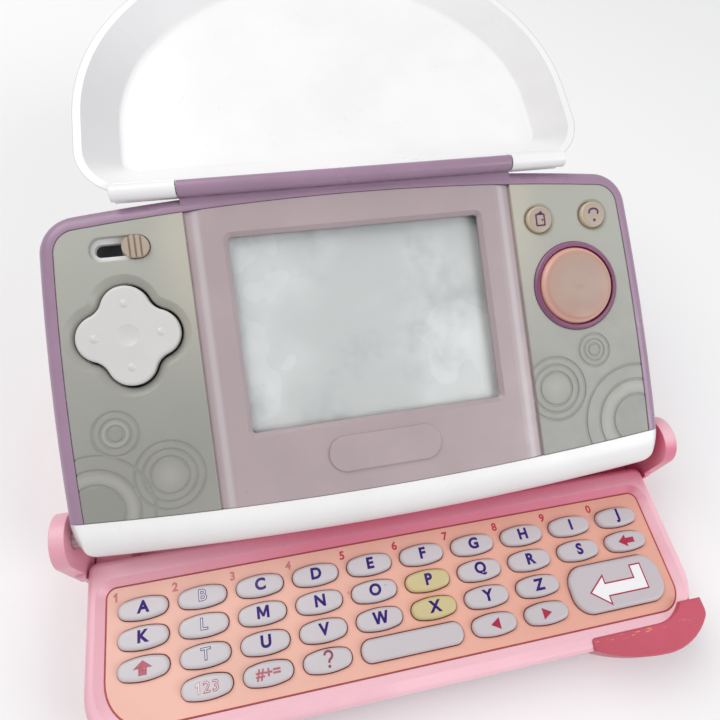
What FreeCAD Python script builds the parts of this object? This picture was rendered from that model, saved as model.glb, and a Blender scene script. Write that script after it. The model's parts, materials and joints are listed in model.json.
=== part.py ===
import FreeCAD, Part
import math
import os

# Toy learning laptop: keyboard drawer, tilting screen unit and flip-up lid.
# Millimetres, +Z up, +X to the user's right, +Y away from the user.
# Origin: centre of the base's underside. Rest pose: drawer out, screen up, lid open.

# Overall sizes
UNIT_WIDTH = 138.8          # screen unit at its widest
SCREEN_RISE = 39.6          # tilt axis to the screen's centre
SCREEN_TO_TOP = 32.6        # screen centre to the middle of the screen unit's top edge
TOP_BOW_R = 600.0           # plan radius of the bowed top edge
SIDE_BOW_R = 600.0          # plan radius of the bowed sides
SIDE_BOW_Y = 22.5           # tilt axis to the widest place
NOSE_R = 7.0                # half the thickness of the screen unit
NOSE_BOW_R = 841.0          # plan radius of the bowed front edge
UNIT_CORNER_R = 8.4
NOSE_CORNER_R = 14.0
UNIT_EDGE_R = 3.0
TILT_DEG = 29.4
WALL = 1.8

# Base
BASE_DEPTH = 75.5
BASE_HEIGHT = 15.2
BASE_WALL = 3.1
BASE_FLOOR = 1.8
BASE_FRONT_R = 2.5
BASE_REAR_R = 9.0
BASE_FOOT_R = 1.2
BASE_TOP_R = 0.6
SEAM_RISE = 9.4             # moulding seam round the base
SEAM_CUT = 0.35             # its width and depth
HINGE_SETBACK = 6.8         # base front to the tilt axis
HINGE_CLEAR = 0.7           # base top to the lowest line of the nose
EAR_R = 6.0
TILT_PIN_R = 2.0
TILT_PIN_GRIP = 7.0         # pin length held in the screen unit
PIN_RUNNING_GAP = 0.05
PIN_FIXED_GAP = 0.02

# Battery bay, four small cells in two rows
CELL_R = 5.25
CELL_STUD_R = 1.85
CELL_LENGTH = 44.5
CELL_GAP = 0.8
BAY_END_ROOM = 4.0
BAY_WALL = 2.0
BAY_REAR_MARGIN = 7.0
DOOR_T = 1.5
DOOR_LIP = 1.6
DOOR_GAP = 0.15

# Keyboard drawer
TRAY_WIDTH = 140.0
TRAY_DEPTH = 39.2
TRAY_REAR_INSIDE = 3.0      # tray rear wall behind the base front at rest
TRAY_CORNER_R = 13.0
TRAY_WALL = 2.0
TRAY_RIM_DROP = 0.1         # tray rim below the base top
TRAY_TOP_R = 1.4
SLIDE_GAP = 0.35
LIFT_GAP = 0.3
ARM_WIDTH = 8.0
ARM_LENGTH = 28.0
ARM_HEIGHT = 6.9
RIB_REACH = 1.2
RIB_HEIGHT = 1.8
RIB_RISE = 2.5              # tray underside to the rib
DRAWER_TRAVEL = 36.0

# Key panel and keys
PANEL_FRONT_MARGIN = 4.6
PANEL_REAR_MARGIN = 6.1
PANEL_SIDE_MARGIN = 3.9
PANEL_T = 1.4
PANEL_DROP = 1.4            # panel face below the tray rim
PANEL_LEFT_R = 10.0         # front left corner, beside the gap in the last row
PANEL_RIGHT_R = 5.5         # front right corner, beside the enter key
PANEL_REAR_R = 2.2
PANEL_GAP = 0.1
PANEL_LEDGE = 1.0
BEVEL_RUN = 1.75            # slope from the tray rim down to the panel
KEY_COLUMNS = 10
KEY_ROWS = 4
KEY_COLUMN_INSET = 8.05     # panel side edge to the first column's centre line
KEY_REAR_INSET = 5.5        # panel rear edge to the first row's centre line
KEY_FRONT_INSET = 5.0
KEY_COLUMN_GAP = 2.25
KEY_ROW_GAP = 1.3
KEY_END_SHARE = 0.41        # radius of a key's round ends as a share of its depth
ENTER_CORNER_R = 4.3
SPACE_CORNER_R = 2.2
CORNER_SHARE = 0.47         # most of a wide key's depth that one of its corners may take
KEY_PROUD = 1.3
KEY_EDGE_R = 0.8
KEY_GAP = 0.2
KEY_TRAVEL = 1.0
KEY_FLANGE_T = 0.8
KEY_TAB_REACH = 0.7
KEY_TAB_DEPTH = 2.5
KEY_SEAT_GAP = 0.2
MEMBRANE_T = 1.4
MEMBRANE_GAP = 0.2
DOME_R = 1.5
GRIP_START = 40.2           # inner end of a corner grip, from the middle
GRIP_LAP = 2.5              # how far a grip lies over the drawer's edge
GRIP_T = 3.7                # how far a grip stands out at the corner
GRIP_Z0 = 9.5
GRIP_PROUD = 0.35           # top of a grip above the drawer's rim
GRIP_EDGE_R = 0.3
GRIP_NOSE_R = 0.9
GRIP_SIDE_R = 3.0
GRIP_WRAP = 6.0             # how far a grip runs back round its corner

# Face of the screen unit, heights above the tilt axis plane
BED_Z = 5.4                 # plate that carries the face inlays
PLATE_T = 1.6
INLAY_T = 1.5
TRIM_WIDTH = 3.4
INLAY_GAP = 0.1
BUMPER_BAND = 8.7           # nose tip to the inlays
SCREEN_WIDTH = 58.0
SCREEN_HEIGHT = 43.5
SCREEN_CORNER_R = 0.8
SCREEN_CHAMFER = 0.9
BEZEL_HALF = 37.6
BEZEL_SLOPE_RUN = 4.0       # sloped strip along each side of the bezel
BEZEL_SLOPE_DROP = 0.7
BADGE_LENGTH = 26.0
BADGE_WIDTH = 8.0
BADGE_T = 0.5
BADGE_DROP = 29.2           # screen centre to the badge
LENS_LAP = 1.5
LENS_T = 1.4
LENS_GAP = 0.15
LCD_BORDER = 4.0
LCD_T = 3.2
LCD_GAP = 0.1

# Controls on the face
OK_X = 51.3
OK_ABOVE = 2.25             # these heights are above the screen's centre, along the face
OK_R = 9.25
OK_TOP = 8.7
OK_DOME = 0.4
OK_EDGE_R = 2.0
OK_RING_R = 10.6
OK_RING_T = 2.1
BUTTON_R = 3.1
BUTTON_TOP = 7.8
BUTTON_GAP = 0.2
BUTTON_DISH_RUN = 0.7       # sloped rim of the panel round a small button
BUTTON_DISH_DROP = 0.5
BUTTON_LIP = 0.8
BUTTON_FLANGE_T = 1.0
BUTTON_SEAT_GAP = 0.2
EXIT_X = 44.0
HELP_X = 57.9
BUTTON_ABOVE = 18.9
SWITCH_X = -51.4
SWITCH_ABOVE = 21.4
SWITCH_SLOT = 12.6          # length of the power switch's slot
SWITCH_SLOT_WIDTH = 5.2
SWITCH_LENGTH = 5.6
SWITCH_TOP = 7.6
SWITCH_STEM_WIDTH = 2.4
PAD_X = -52.0
PAD_ABOVE = 2.8
PAD_LOBE_OFFSET = 5.6
PAD_LOBE_R = 5.1
PAD_WAIST = 9.0
PAD_TOP = 7.3
PAD_T = 2.7
PAD_GAP = 0.45
PAD_WELL_RUN = 1.9
PAD_EDGE_R = 0.7
PAD_DOT_REACH = 6.8         # pad centre to the raised dot on each lobe
PAD_DOT_R = 0.9
PAD_DOT_RISE = 0.3
PAD_DISH_R = 2.4            # hollow in the middle
PAD_DISH_DROP = 0.4
PAD_SOCKET_R = 3.0
PIVOT_R = 2.4
PIVOT_GAP = 0.3

# Moulded rings on the side panels: centre, height above the screen's centre, groove radii
RING_DEPTH = 0.12
RING_GROOVE = 0.5           # width of a groove
RINGS = (
    (53.9, -13.7, (1.5, 2.5, 3.9)),
    (42.9, -21.7, (4.0, 5.7, 7.5)),
    (63.0, -32.0, (6.2, 9.9, 13.5)),
    (-57.2, -17.6, (1.7, 3.1, 4.7)),
    (-47.3, -27.9, (4.0, 5.6, 7.3)),
    (-63.0, -33.5, (5.8, 9.0, 12.0)),
)

# Inside the screen unit
BOARD_T = 1.6
BOARD_Z = -3.6              # underside of the board
BOARD_HALF = 60.0
BOARD_Y0 = 6.0
BOARD_TOP_ROOM = 12.2       # board to the top edge of the screen unit
SPEAKER_R = 10.0
SPEAKER_CUP_R = 5.5
SPEAKER_T = 4.4
SPEAKER_X = -40.0
SPEAKER_RISE = 20.0
SPEAKER_GAP = 0.3
GRILLE_HOLE_R = 0.8
GRILLE_PITCH = 3.2
GRILLE_REACH = 2            # holes each way from the middle one
SCREW_R = 1.0
SCREW_HEAD_R = 1.9
SCREW_HEAD_T = 1.2
SCREW_LENGTH = 9.0
SCREW_SINK = 0.3
SIDE_SCREW_X = 64.0
SIDE_SCREW_RISES = (10.0, 36.0)
TOP_SCREW_X = 37.0
TOP_SCREW_ROOM = 7.4        # top screws to the top edge of the screen unit
BOSS_R = 2.6

# Lid
LID_AXIS_AHEAD = 0.2        # middle of the top edge to the lid axis
LID_AXIS_Z = 7.6
LID_OPEN_PAST_FLAT = 16.0
LID_HALF = 59.4
LID_LENGTH = 74.5           # lid axis to the far edge
LID_HINGE_EDGE = 0.8
LID_HINGE_CORNER_R = 12.4
LID_SIDE_SHARE = 0.293      # share of the length with a straight side
LID_SHOULDER_SHARE = 0.617  # shoulder radius as a share of the length
LID_RIM_Z = 2.0             # rim plane above the lid axis, lid closed
LID_DEPTH = 7.0
LID_SLOPE_RUN = 7.5
LID_EDGE_R = 2.6
LID_EDGE_STEPS = 4
LID_PIN_R = 1.0
KNUCKLE_R = 1.8
KNUCKLE_X0 = 38.0
KNUCKLE_X1 = 52.0
KNUCKLE_GAP = 0.3
LID_PIN_GRIP = 7.0          # pin length held in the hinge barrel
BARREL_WEB_END = 0.8        # barrel web to the lid axis

# Worked out from the sizes above
UNIT_HALF = UNIT_WIDTH / 2
UNIT_RISE = SCREEN_RISE + SCREEN_TO_TOP
UNIT_FRONT = -NOSE_R - UNIT_EDGE_R / 2
TRAY_HALF = TRAY_WIDTH / 2
BASE_INNER = TRAY_HALF + SLIDE_GAP
BASE_HALF = BASE_INNER + BASE_WALL
BASE_FRONT = -BASE_DEPTH / 2
BASE_REAR = BASE_DEPTH / 2
HINGE_Y = BASE_FRONT + HINGE_SETBACK
HINGE_Z = BASE_HEIGHT + HINGE_CLEAR + NOSE_R
BOW_Y = NOSE_BOW_R - NOSE_R
TRAY_REAR = BASE_FRONT + TRAY_REAR_INSIDE
TRAY_FRONT = TRAY_REAR - TRAY_DEPTH
TRAY_Z = BASE_FLOOR + LIFT_GAP
RIM_Z = BASE_HEIGHT - TRAY_RIM_DROP
PANEL_Z1 = RIM_Z - PANEL_DROP
GRIP_Z1 = RIM_Z + GRIP_PROUD
PANEL_Z0 = PANEL_Z1 - PANEL_T
PANEL_HALF = TRAY_HALF - PANEL_SIDE_MARGIN
PANEL_Y0 = TRAY_FRONT + PANEL_FRONT_MARGIN
PANEL_Y1 = TRAY_REAR - PANEL_REAR_MARGIN
KEY_PITCH_X = (2 * PANEL_HALF - 2 * KEY_COLUMN_INSET) / (KEY_COLUMNS - 1)
KEY_PITCH_Y = (PANEL_Y1 - PANEL_Y0 - KEY_REAR_INSET - KEY_FRONT_INSET) / (KEY_ROWS - 1)
KEY_WIDTH = KEY_PITCH_X - KEY_COLUMN_GAP
KEY_DEPTH = KEY_PITCH_Y - KEY_ROW_GAP
KEY_END_R = KEY_END_SHARE * KEY_DEPTH
ROW_ONE_Y = PANEL_Y1 - KEY_REAR_INSET
FLANGE_Z1 = PANEL_Z0 - KEY_SEAT_GAP
FLANGE_Z0 = FLANGE_Z1 - KEY_FLANGE_T
MEMBRANE_Z1 = FLANGE_Z0 - KEY_TRAVEL - MEMBRANE_GAP
MEMBRANE_Z0 = MEMBRANE_Z1 - MEMBRANE_T
PLATE_Z0 = BED_Z - PLATE_T
INLAY_Z1 = BED_Z + INLAY_T
TOP_BOW_Y = UNIT_RISE - TOP_BOW_R
BUTTON_FLANGE_Z1 = PLATE_Z0 - BUTTON_SEAT_GAP
BOARD_Z1 = BOARD_Z + BOARD_T
BOARD_Y1 = UNIT_RISE - BOARD_TOP_ROOM
OK_RISE = SCREEN_RISE + OK_ABOVE
BUTTON_RISE = SCREEN_RISE + BUTTON_ABOVE
SWITCH_RISE = SCREEN_RISE + SWITCH_ABOVE
PAD_RISE = SCREEN_RISE + PAD_ABOVE
SWITCH_TRAVEL = SWITCH_SLOT - SWITCH_LENGTH - 2 * BUTTON_GAP
LID_AXIS_RISE = UNIT_RISE + LID_AXIS_AHEAD
LID_SIDE_END = LID_SIDE_SHARE * LID_LENGTH
LID_SHOULDER_R = LID_SHOULDER_SHARE * LID_LENGTH
LID_CROWN_R = ((LID_HALF - LID_SHOULDER_R) ** 2 + (LID_LENGTH - LID_SIDE_END) ** 2
               - LID_SHOULDER_R ** 2) / (2 * (LID_LENGTH - LID_SIDE_END - LID_SHOULDER_R))
BAY_HALF = CELL_LENGTH + BAY_END_ROOM
BAY_DEPTH = 4 * CELL_R + 3 * CELL_GAP
BAY_Y1 = BASE_REAR - BAY_REAR_MARGIN
BAY_Y0 = BAY_Y1 - BAY_DEPTH
CELL_Z = DOOR_T + CELL_GAP / 2 + CELL_R
BAY_TOP = CELL_Z + CELL_R + CELL_GAP
TUNNEL_X0 = TRAY_HALF - ARM_WIDTH - SLIDE_GAP
TUNNEL_Z1 = TRAY_Z + ARM_HEIGHT + LIFT_GAP
CHANNEL_Y1 = TRAY_REAR + DRAWER_TRAVEL + SLIDE_GAP
TUNNEL_Y1 = CHANNEL_Y1 + ARM_LENGTH
GROOVE_Z0 = TRAY_Z + RIB_RISE - LIFT_GAP
GROOVE_Z1 = TRAY_Z + RIB_RISE + RIB_HEIGHT + LIFT_GAP

X_AXIS = FreeCAD.Vector(1, 0, 0)
Z_AXIS = FreeCAD.Vector(0, 0, 1)
FAR = 400.0                 # beyond every face, for cutting right through
TOUCH = 1e-4                # closer than this counts as the same place


def vec(x, y, z=0.0):
    return FreeCAD.Vector(x, y, z)


def box(x0, x1, y0, y1, z0, z1):
    return Part.makeBox(x1 - x0, y1 - y0, z1 - z0, vec(x0, y0, z0))


def cylinder(x, y, z0, z1, radius):
    return Part.makeCylinder(radius, z1 - z0, vec(x, y, z0))


def rod(x0, x1, y, z, radius):
    return Part.makeCylinder(radius, x1 - x0, vec(x0, y, z), X_AXIS)


def corner_arc(cx, cy, radius, start_deg, end_deg):
    """Arc about (cx, cy), anticlockwise from one angle to the other."""
    points = []
    for angle in (start_deg, (start_deg + end_deg) / 2, end_deg):
        turn = math.radians(angle)
        points.append(vec(cx + radius * math.cos(turn), cy + radius * math.sin(turn)))
    return Part.Arc(*points).toShape()


def joined(arcs):
    """Closed wire through arcs in order, with straight runs between their ends."""
    edges = []
    for index, arc in enumerate(arcs):
        following = arcs[(index + 1) % len(arcs)]
        end = arc.valueAt(arc.LastParameter)
        start = following.valueAt(following.FirstParameter)
        edges.append(arc)
        if end.distanceToPoint(start) > TOUCH:
            edges.append(Part.makeLine(end, start))
    return Part.Wire(edges)


def cornered(x0, x1, y0, y1, left_r, right_r, rear_r):
    """Rectangle in plan with rounded corners: front left, front right, and the two behind."""
    return joined([
        corner_arc(x0 + left_r, y0 + left_r, left_r, 180, 270),
        corner_arc(x1 - right_r, y0 + right_r, right_r, 270, 360),
        corner_arc(x1 - rear_r, y1 - rear_r, rear_r, 0, 90),
        corner_arc(x0 + rear_r, y1 - rear_r, rear_r, 90, 180),
    ])


def rounded_rect(x0, x1, y0, y1, front_r, rear_r):
    return cornered(x0, x1, y0, y1, front_r, front_r, rear_r)


def prism(wire, z0, z1):
    solid = Part.Face(wire).extrude(vec(0, 0, z1 - z0))
    solid.translate(vec(0, 0, z0))
    return solid


def slab(x0, x1, y0, y1, z0, z1, front_r, rear_r):
    return prism(rounded_rect(x0, x1, y0, y1, front_r, rear_r), z0, z1)


def edges_at_z(solid, z):
    """Edges that lie wholly in the level plane at height z."""
    return [e for e in solid.Edges
            if abs(e.BoundBox.ZMin - z) < TOUCH and abs(e.BoundBox.ZMax - z) < TOUCH]


def upright_edges(solid, x, y_limit):
    """Upright edges at x that lie no further back than a limit."""
    return [e for e in solid.Edges
            if e.BoundBox.ZLength > TOUCH and e.BoundBox.YLength < TOUCH
            and abs(e.BoundBox.XMin - x) < TOUCH and abs(e.BoundBox.XMax - x) < TOUCH
            and e.BoundBox.YMax < y_limit + TOUCH / 2]


def mirrored(solid):
    return solid.mirror(vec(0, 0), X_AXIS)


def both_sides(solid):
    return [solid, mirrored(solid)]


def cut(solid, tools):
    return solid.cut(tools).removeSplitter()


def fused(solid, others):
    return solid.fuse(others).removeSplitter()


def solid_of(shape):
    """The single solid of a boolean result."""
    return max(shape.Solids, key=lambda s: s.Volume)


def place_unit(shape):
    """Move a shape from the screen unit's own frame to the tilted rest pose."""
    placed = shape.copy()
    placed.rotate(vec(0, 0), X_AXIS, TILT_DEG)
    placed.translate(vec(0, HINGE_Y, HINGE_Z))
    return placed


# Screen unit's own frame: origin on the tilt axis, +Y up the face, +Z out of the face

def upper_crossing(x0, y0, r0, x1, y1, r1):
    """The higher of the two points where two circles cross."""
    apart = math.hypot(x1 - x0, y1 - y0)
    along = (r0 ** 2 - r1 ** 2 + apart ** 2) / (2 * apart)
    off = math.sqrt(r0 ** 2 - along ** 2)
    run_x = (x1 - x0) / apart
    run_y = (y1 - y0) / apart
    points = [(x0 + along * run_x - side * run_y, y0 + along * run_y + side * run_x) for side in (-off, off)]
    return max(points, key=lambda point: point[1])


def unit_plan(inset):
    """Screen unit in plan, shrunk by inset: straight front, bowed sides and top, rounded corners."""
    side_x = UNIT_HALF - SIDE_BOW_R
    front_reach = SIDE_BOW_R - NOSE_CORNER_R
    front_y = UNIT_FRONT + NOSE_CORNER_R
    front_turn = math.asin((front_y - SIDE_BOW_Y) / front_reach)
    front_x = side_x + front_reach * math.cos(front_turn)
    corner_x, corner_y = upper_crossing(side_x, SIDE_BOW_Y, SIDE_BOW_R - UNIT_CORNER_R,
                                        0, TOP_BOW_Y, TOP_BOW_R - UNIT_CORNER_R)
    low = math.degrees(front_turn)
    side = math.degrees(math.atan2(corner_y - SIDE_BOW_Y, corner_x - side_x))
    top = math.degrees(math.atan2(corner_y - TOP_BOW_Y, corner_x))
    return joined([
        corner_arc(front_x, front_y, NOSE_CORNER_R - inset, 270, 360 + low),
        corner_arc(side_x, SIDE_BOW_Y, SIDE_BOW_R - inset, low, side),
        corner_arc(corner_x, corner_y, UNIT_CORNER_R - inset, side, top),
        corner_arc(0, TOP_BOW_Y, TOP_BOW_R - inset, top, 180 - top),
        corner_arc(-corner_x, corner_y, UNIT_CORNER_R - inset, 180 - top, 180 - side),
        corner_arc(-side_x, SIDE_BOW_Y, SIDE_BOW_R - inset, 180 - side, 180 - low),
        corner_arc(-front_x, front_y, NOSE_CORNER_R - inset, 180 - low, 270),
    ])


def unit_block(inset):
    """Outer form of the screen unit, shrunk by inset: half-round bowed nose, rounded edges."""
    nose_r = NOSE_R - inset
    plan = prism(unit_plan(inset), -nose_r, nose_r)
    edge_r = max(UNIT_EDGE_R - inset, UNIT_EDGE_R / 4)
    plan = plan.makeFillet(edge_r, edges_at_z(plan, nose_r) + edges_at_z(plan, -nose_r))
    tip = Part.Arc(vec(0, 0, nose_r), vec(0, -nose_r, 0), vec(0, 0, -nose_r)).toShape()
    back = 2 * UNIT_RISE
    low = Part.makeLine(vec(0, 0, -nose_r), vec(0, back, -nose_r))
    rear = Part.makeLine(vec(0, back, -nose_r), vec(0, back, nose_r))
    high = Part.makeLine(vec(0, back, nose_r), vec(0, 0, nose_r))
    profile = Part.Face(Part.Wire([tip, low, rear, high]))
    sweep = math.degrees(math.asin(UNIT_WIDTH / NOSE_BOW_R))
    profile.rotate(vec(0, BOW_Y), Z_AXIS, -sweep)
    bowed = profile.revolve(vec(0, BOW_Y), Z_AXIS, 2 * sweep)
    return solid_of(plan.common(bowed))


def behind_bumper(gap):
    """Everything behind the bowed line where the face inlays start."""
    return cylinder(0, BOW_Y, -FAR, FAR, NOSE_BOW_R - BUMPER_BAND - gap)


def inlay_area(z0, z1, gap):
    area = prism(unit_plan(TRIM_WIDTH + gap), z0, z1)
    return area.common(behind_bumper(gap))


def clover(offset, lobe_r, waist_r, cx, cy):
    """Four-lobed outline: lobes joined by hollow arcs about points on the diagonals."""
    arcs = []
    reach = math.degrees(math.atan2(PAD_WAIST - offset, PAD_WAIST))
    for quarter in range(4):
        turn = 90 * quarter
        lobe_x = cx + offset * math.cos(math.radians(turn))
        lobe_y = cy + offset * math.sin(math.radians(turn))
        arcs.append(corner_arc(lobe_x, lobe_y, lobe_r, turn - 90 + reach, turn + 90 - reach))
        side = math.radians(turn + 45)
        waist_x = cx + PAD_WAIST * math.sqrt(2) * math.cos(side)
        waist_y = cy + PAD_WAIST * math.sqrt(2) * math.sin(side)
        arcs.append(corner_arc(waist_x, waist_y, waist_r, turn - 90 - reach, turn - 180 + reach))
    return joined(arcs)


def pad_outline(grow):
    """The direction pad's outline, grown outwards by a distance."""
    reach = math.hypot(PAD_WAIST, PAD_WAIST - PAD_LOBE_OFFSET)
    waist_r = reach - PAD_LOBE_R
    return clover(PAD_LOBE_OFFSET, PAD_LOBE_R + grow, waist_r - grow, PAD_X, PAD_RISE)


def round_buttons():
    """Node name, centre, radius and top of each round push button."""
    return [
        ("ok_button", OK_X, OK_RISE, OK_R, OK_TOP),
        ("exit_button", EXIT_X, BUTTON_RISE, BUTTON_R, BUTTON_TOP),
        ("help_button", HELP_X, BUTTON_RISE, BUTTON_R, BUTTON_TOP),
    ]


def button_holes(z0, z1):
    return [cylinder(x, y, z0, z1, radius + BUTTON_GAP) for _, x, y, radius, _ in round_buttons()]


def cap_radius(half_width, rise):
    """Radius of the ball whose cap has this half width and rise."""
    return (half_width ** 2 + rise ** 2) / (2 * rise)


def push_button(x, y, radius, top):
    """Cap with a low dome and a rounded edge, and a flange that is held under the face plate."""
    share = radius / OK_R
    dome = OK_DOME * share
    flange_z0 = BUTTON_FLANGE_Z1 - BUTTON_FLANGE_T
    cap = cylinder(x, y, flange_z0, top - dome, radius)
    dome_r = cap_radius(radius, dome)
    ball = Part.makeSphere(dome_r, vec(x, y, top - dome_r))
    crown = ball.common(cylinder(x, y, top - dome, top + dome, radius))
    cap = fused(cap, [crown])
    cap = cap.makeFillet(OK_EDGE_R * share, edges_at_z(cap, top - dome))
    flange = cylinder(x, y, flange_z0, BUTTON_FLANGE_Z1, radius + BUTTON_GAP + BUTTON_LIP)
    return fused(cap, [flange])


def long_slot(x, length, width, z0, z1):
    """Round-ended bar across the face at the power switch, its middle at x."""
    return slab(x - length / 2, x + length / 2, SWITCH_RISE - width / 2, SWITCH_RISE + width / 2,
                z0, z1, width / 2, width / 2)


def power_switch():
    """Slider at the right end of its slot, with ribs on top and a foot under the face plate."""
    x = SWITCH_X + SWITCH_TRAVEL / 2
    width = SWITCH_SLOT_WIDTH - 2 * BUTTON_GAP
    knob = long_slot(x, SWITCH_LENGTH, width, BED_Z + BUTTON_GAP, SWITCH_TOP)
    for step in (-1, 0, 1):
        rib_x = x + step * SWITCH_STEM_WIDTH / 2
        groove = box(rib_x - BUTTON_GAP, rib_x + BUTTON_GAP, -FAR, FAR, SWITCH_TOP - 2 * BUTTON_GAP, FAR)
        knob = cut(knob, [groove])
    stem_z0 = BUTTON_FLANGE_Z1 - BUTTON_FLANGE_T
    stem = long_slot(x, SWITCH_LENGTH - 2 * BUTTON_LIP, SWITCH_STEM_WIDTH, stem_z0, BED_Z + 2 * BUTTON_GAP)
    foot = long_slot(x, SWITCH_LENGTH + 2 * BUTTON_LIP, width, stem_z0, BUTTON_FLANGE_Z1)
    return fused(knob, [stem, foot])


def screw_places():
    places = [(SIDE_SCREW_X, y) for y in SIDE_SCREW_RISES] + [(TOP_SCREW_X, UNIT_RISE - TOP_SCREW_ROOM)]
    return [(side * x, y) for side in (-1, 1) for x, y in places]


def case_screws():
    head_z = -NOSE_R + SCREW_SINK
    screws = []
    for x, y in screw_places():
        head = cylinder(x, y, head_z, head_z + SCREW_HEAD_T, SCREW_HEAD_R)
        shank = cylinder(x, y, head_z, head_z + SCREW_LENGTH, SCREW_R)
        slot = box(x - SCREW_HEAD_R, x + SCREW_HEAD_R, y - SCREW_SINK, y + SCREW_SINK,
                   head_z - SCREW_SINK, head_z + 2 * SCREW_SINK)
        screws.append(cut(fused(head, [shank]), [slot]))
    return Part.Compound(screws)


def screw_bosses(z0, z1):
    return [cylinder(x, y, z0, z1, BOSS_R) for x, y in screw_places()]


def screw_bores():
    head_z = -NOSE_R + SCREW_SINK
    bores = []
    for x, y in screw_places():
        bores.append(cylinder(x, y, -FAR, FAR, SCREW_R + PIN_FIXED_GAP))
        bores.append(cylinder(x, y, -FAR, head_z + SCREW_HEAD_T, SCREW_HEAD_R + PIN_RUNNING_GAP))
    return bores


def tilt_pin(radius, gap):
    inner = UNIT_HALF - TILT_PIN_GRIP - gap
    return rod(inner, BASE_HALF, 0, 0, radius)


def tilt_saddles():
    """Blocks round the tilt pins, split between the two halves of the casing."""
    inner = UNIT_HALF - TILT_PIN_GRIP - WALL
    block = box(inner, UNIT_HALF, -NOSE_R, NOSE_R, -NOSE_R, NOSE_R)
    return both_sides(block.common(unit_block(0)))


def hinge_barrel():
    """Long barrel behind the face's top edge, on a web, with a socket for a lid pin at each end."""
    barrel = rod(-KNUCKLE_X0, KNUCKLE_X0, LID_AXIS_RISE, LID_AXIS_Z, KNUCKLE_R)
    web = box(-KNUCKLE_X0, KNUCKLE_X0, UNIT_RISE - TRIM_WIDTH + INLAY_GAP, LID_AXIS_RISE - BARREL_WEB_END,
              BED_Z, INLAY_Z1)
    return cut(fused(barrel, [web]), lid_pins(LID_PIN_R + PIN_FIXED_GAP))


def lid_pins(radius):
    inner = KNUCKLE_X0 - LID_PIN_GRIP
    outer = KNUCKLE_X1 - KNUCKLE_GAP
    return both_sides(rod(inner, outer, LID_AXIS_RISE, LID_AXIS_Z, radius))


def hinge_pins():
    pins = both_sides(tilt_pin(TILT_PIN_R, 0)) + lid_pins(LID_PIN_R)
    return Part.Compound(pins)


def front_frame():
    """White upper casing: bumper, plate under the inlays, and holes for the controls."""
    shell = unit_block(0).common(box(-FAR, FAR, -FAR, FAR, 0, FAR))
    pocket = box(-FAR, FAR, -FAR, FAR, BED_Z, FAR).common(behind_bumper(0))
    hollow = unit_block(WALL).common(box(-FAR, FAR, -FAR, FAR, -FAR, PLATE_Z0))
    shell = cut(shell, [pocket, hollow])
    inside = [s.common(box(-FAR, FAR, -FAR, FAR, 0, PLATE_Z0)) for s in tilt_saddles()]
    shell = fused(shell, inside + screw_bosses(0, PLATE_Z0))
    lens = screen_slab(LENS_LAP + LENS_GAP, 0, BED_Z)
    pad = prism(pad_outline(PAD_GAP), 0, BED_Z)
    stem = long_slot(SWITCH_X, SWITCH_SLOT - 2 * BUTTON_LIP, SWITCH_STEM_WIDTH + 2 * BUTTON_GAP, 0, BED_Z)
    pins = both_sides(tilt_pin(TILT_PIN_R + PIN_FIXED_GAP, PIN_RUNNING_GAP))
    return cut(shell, [lens, pad, stem] + button_holes(0, BED_Z) + screw_bores() + pins)


def rear_shell():
    """Rear casing with its screw bosses and speaker grille."""
    shell = unit_block(0).common(box(-FAR, FAR, -FAR, FAR, -FAR, 0))
    shell = cut(shell, [unit_block(WALL)])
    floor = -NOSE_R + WALL
    inside = [s.common(box(-FAR, FAR, -FAR, FAR, -FAR, 0)) for s in tilt_saddles()]
    posts = [cylinder(x, y, floor - WALL / 2, BOARD_Z, BOSS_R)
             for x in (-BOARD_HALF + BOSS_R, BOARD_HALF - BOSS_R)
             for y in (BOARD_Y0 + BOSS_R, BOARD_Y1 - BOSS_R)]
    shell = fused(shell, inside + screw_bosses(floor - WALL / 2, 0) + posts)
    pins = both_sides(tilt_pin(TILT_PIN_R + PIN_FIXED_GAP, PIN_RUNNING_GAP))
    holes = []
    for row in range(-GRILLE_REACH, GRILLE_REACH + 1):
        for column in range(-GRILLE_REACH, GRILLE_REACH + 1):
            if abs(row) + abs(column) < 2 * GRILLE_REACH:
                holes.append(cylinder(SPEAKER_X + column * GRILLE_PITCH, SPEAKER_RISE + row * GRILLE_PITCH,
                                      -FAR, floor + WALL / 4, GRILLE_HOLE_R))
    return cut(shell, screw_bores() + pins + holes)


def trim_frame():
    """Purple rim along the sides and top of the face with the hinge barrel, and the OK button's ring."""
    rim = unit_block(0).common(box(-FAR, FAR, -FAR, FAR, BED_Z, FAR)).common(behind_bumper(INLAY_GAP))
    rim = cut(rim, [inlay_area(0, FAR, 0)])
    ring = cylinder(OK_X, OK_RISE, BED_Z, BED_Z + OK_RING_T, OK_RING_R)
    ring = ring.makeFillet(OK_RING_T / 3, edges_at_z(ring, BED_Z + OK_RING_T))
    ring = cut(ring, [cylinder(OK_X, OK_RISE, 0, FAR, OK_R + BUTTON_GAP)])
    rim = fused(solid_of(rim), [hinge_barrel()])
    return Part.Compound([solid_of(rim), ring])


def ring_grooves():
    """Shallow round grooves that decorate the side panels."""
    grooves = []
    for x, above, radii in RINGS:
        for radius in radii:
            outer = cylinder(x, SCREEN_RISE + above, INLAY_Z1 - RING_DEPTH, FAR, radius + RING_GROOVE / 2)
            inner = cylinder(x, SCREEN_RISE + above, 0, FAR, radius - RING_GROOVE / 2)
            grooves.append(outer.cut(inner))
    return grooves


def button_dishes():
    """Sloped rims of the panel's holes for the two small buttons."""
    hole_r = BUTTON_R + BUTTON_GAP
    return [Part.makeCone(hole_r, hole_r + BUTTON_DISH_RUN, BUTTON_DISH_DROP,
                          vec(x, BUTTON_RISE, INLAY_Z1 - BUTTON_DISH_DROP)) for x in (EXIT_X, HELP_X)]


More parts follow.
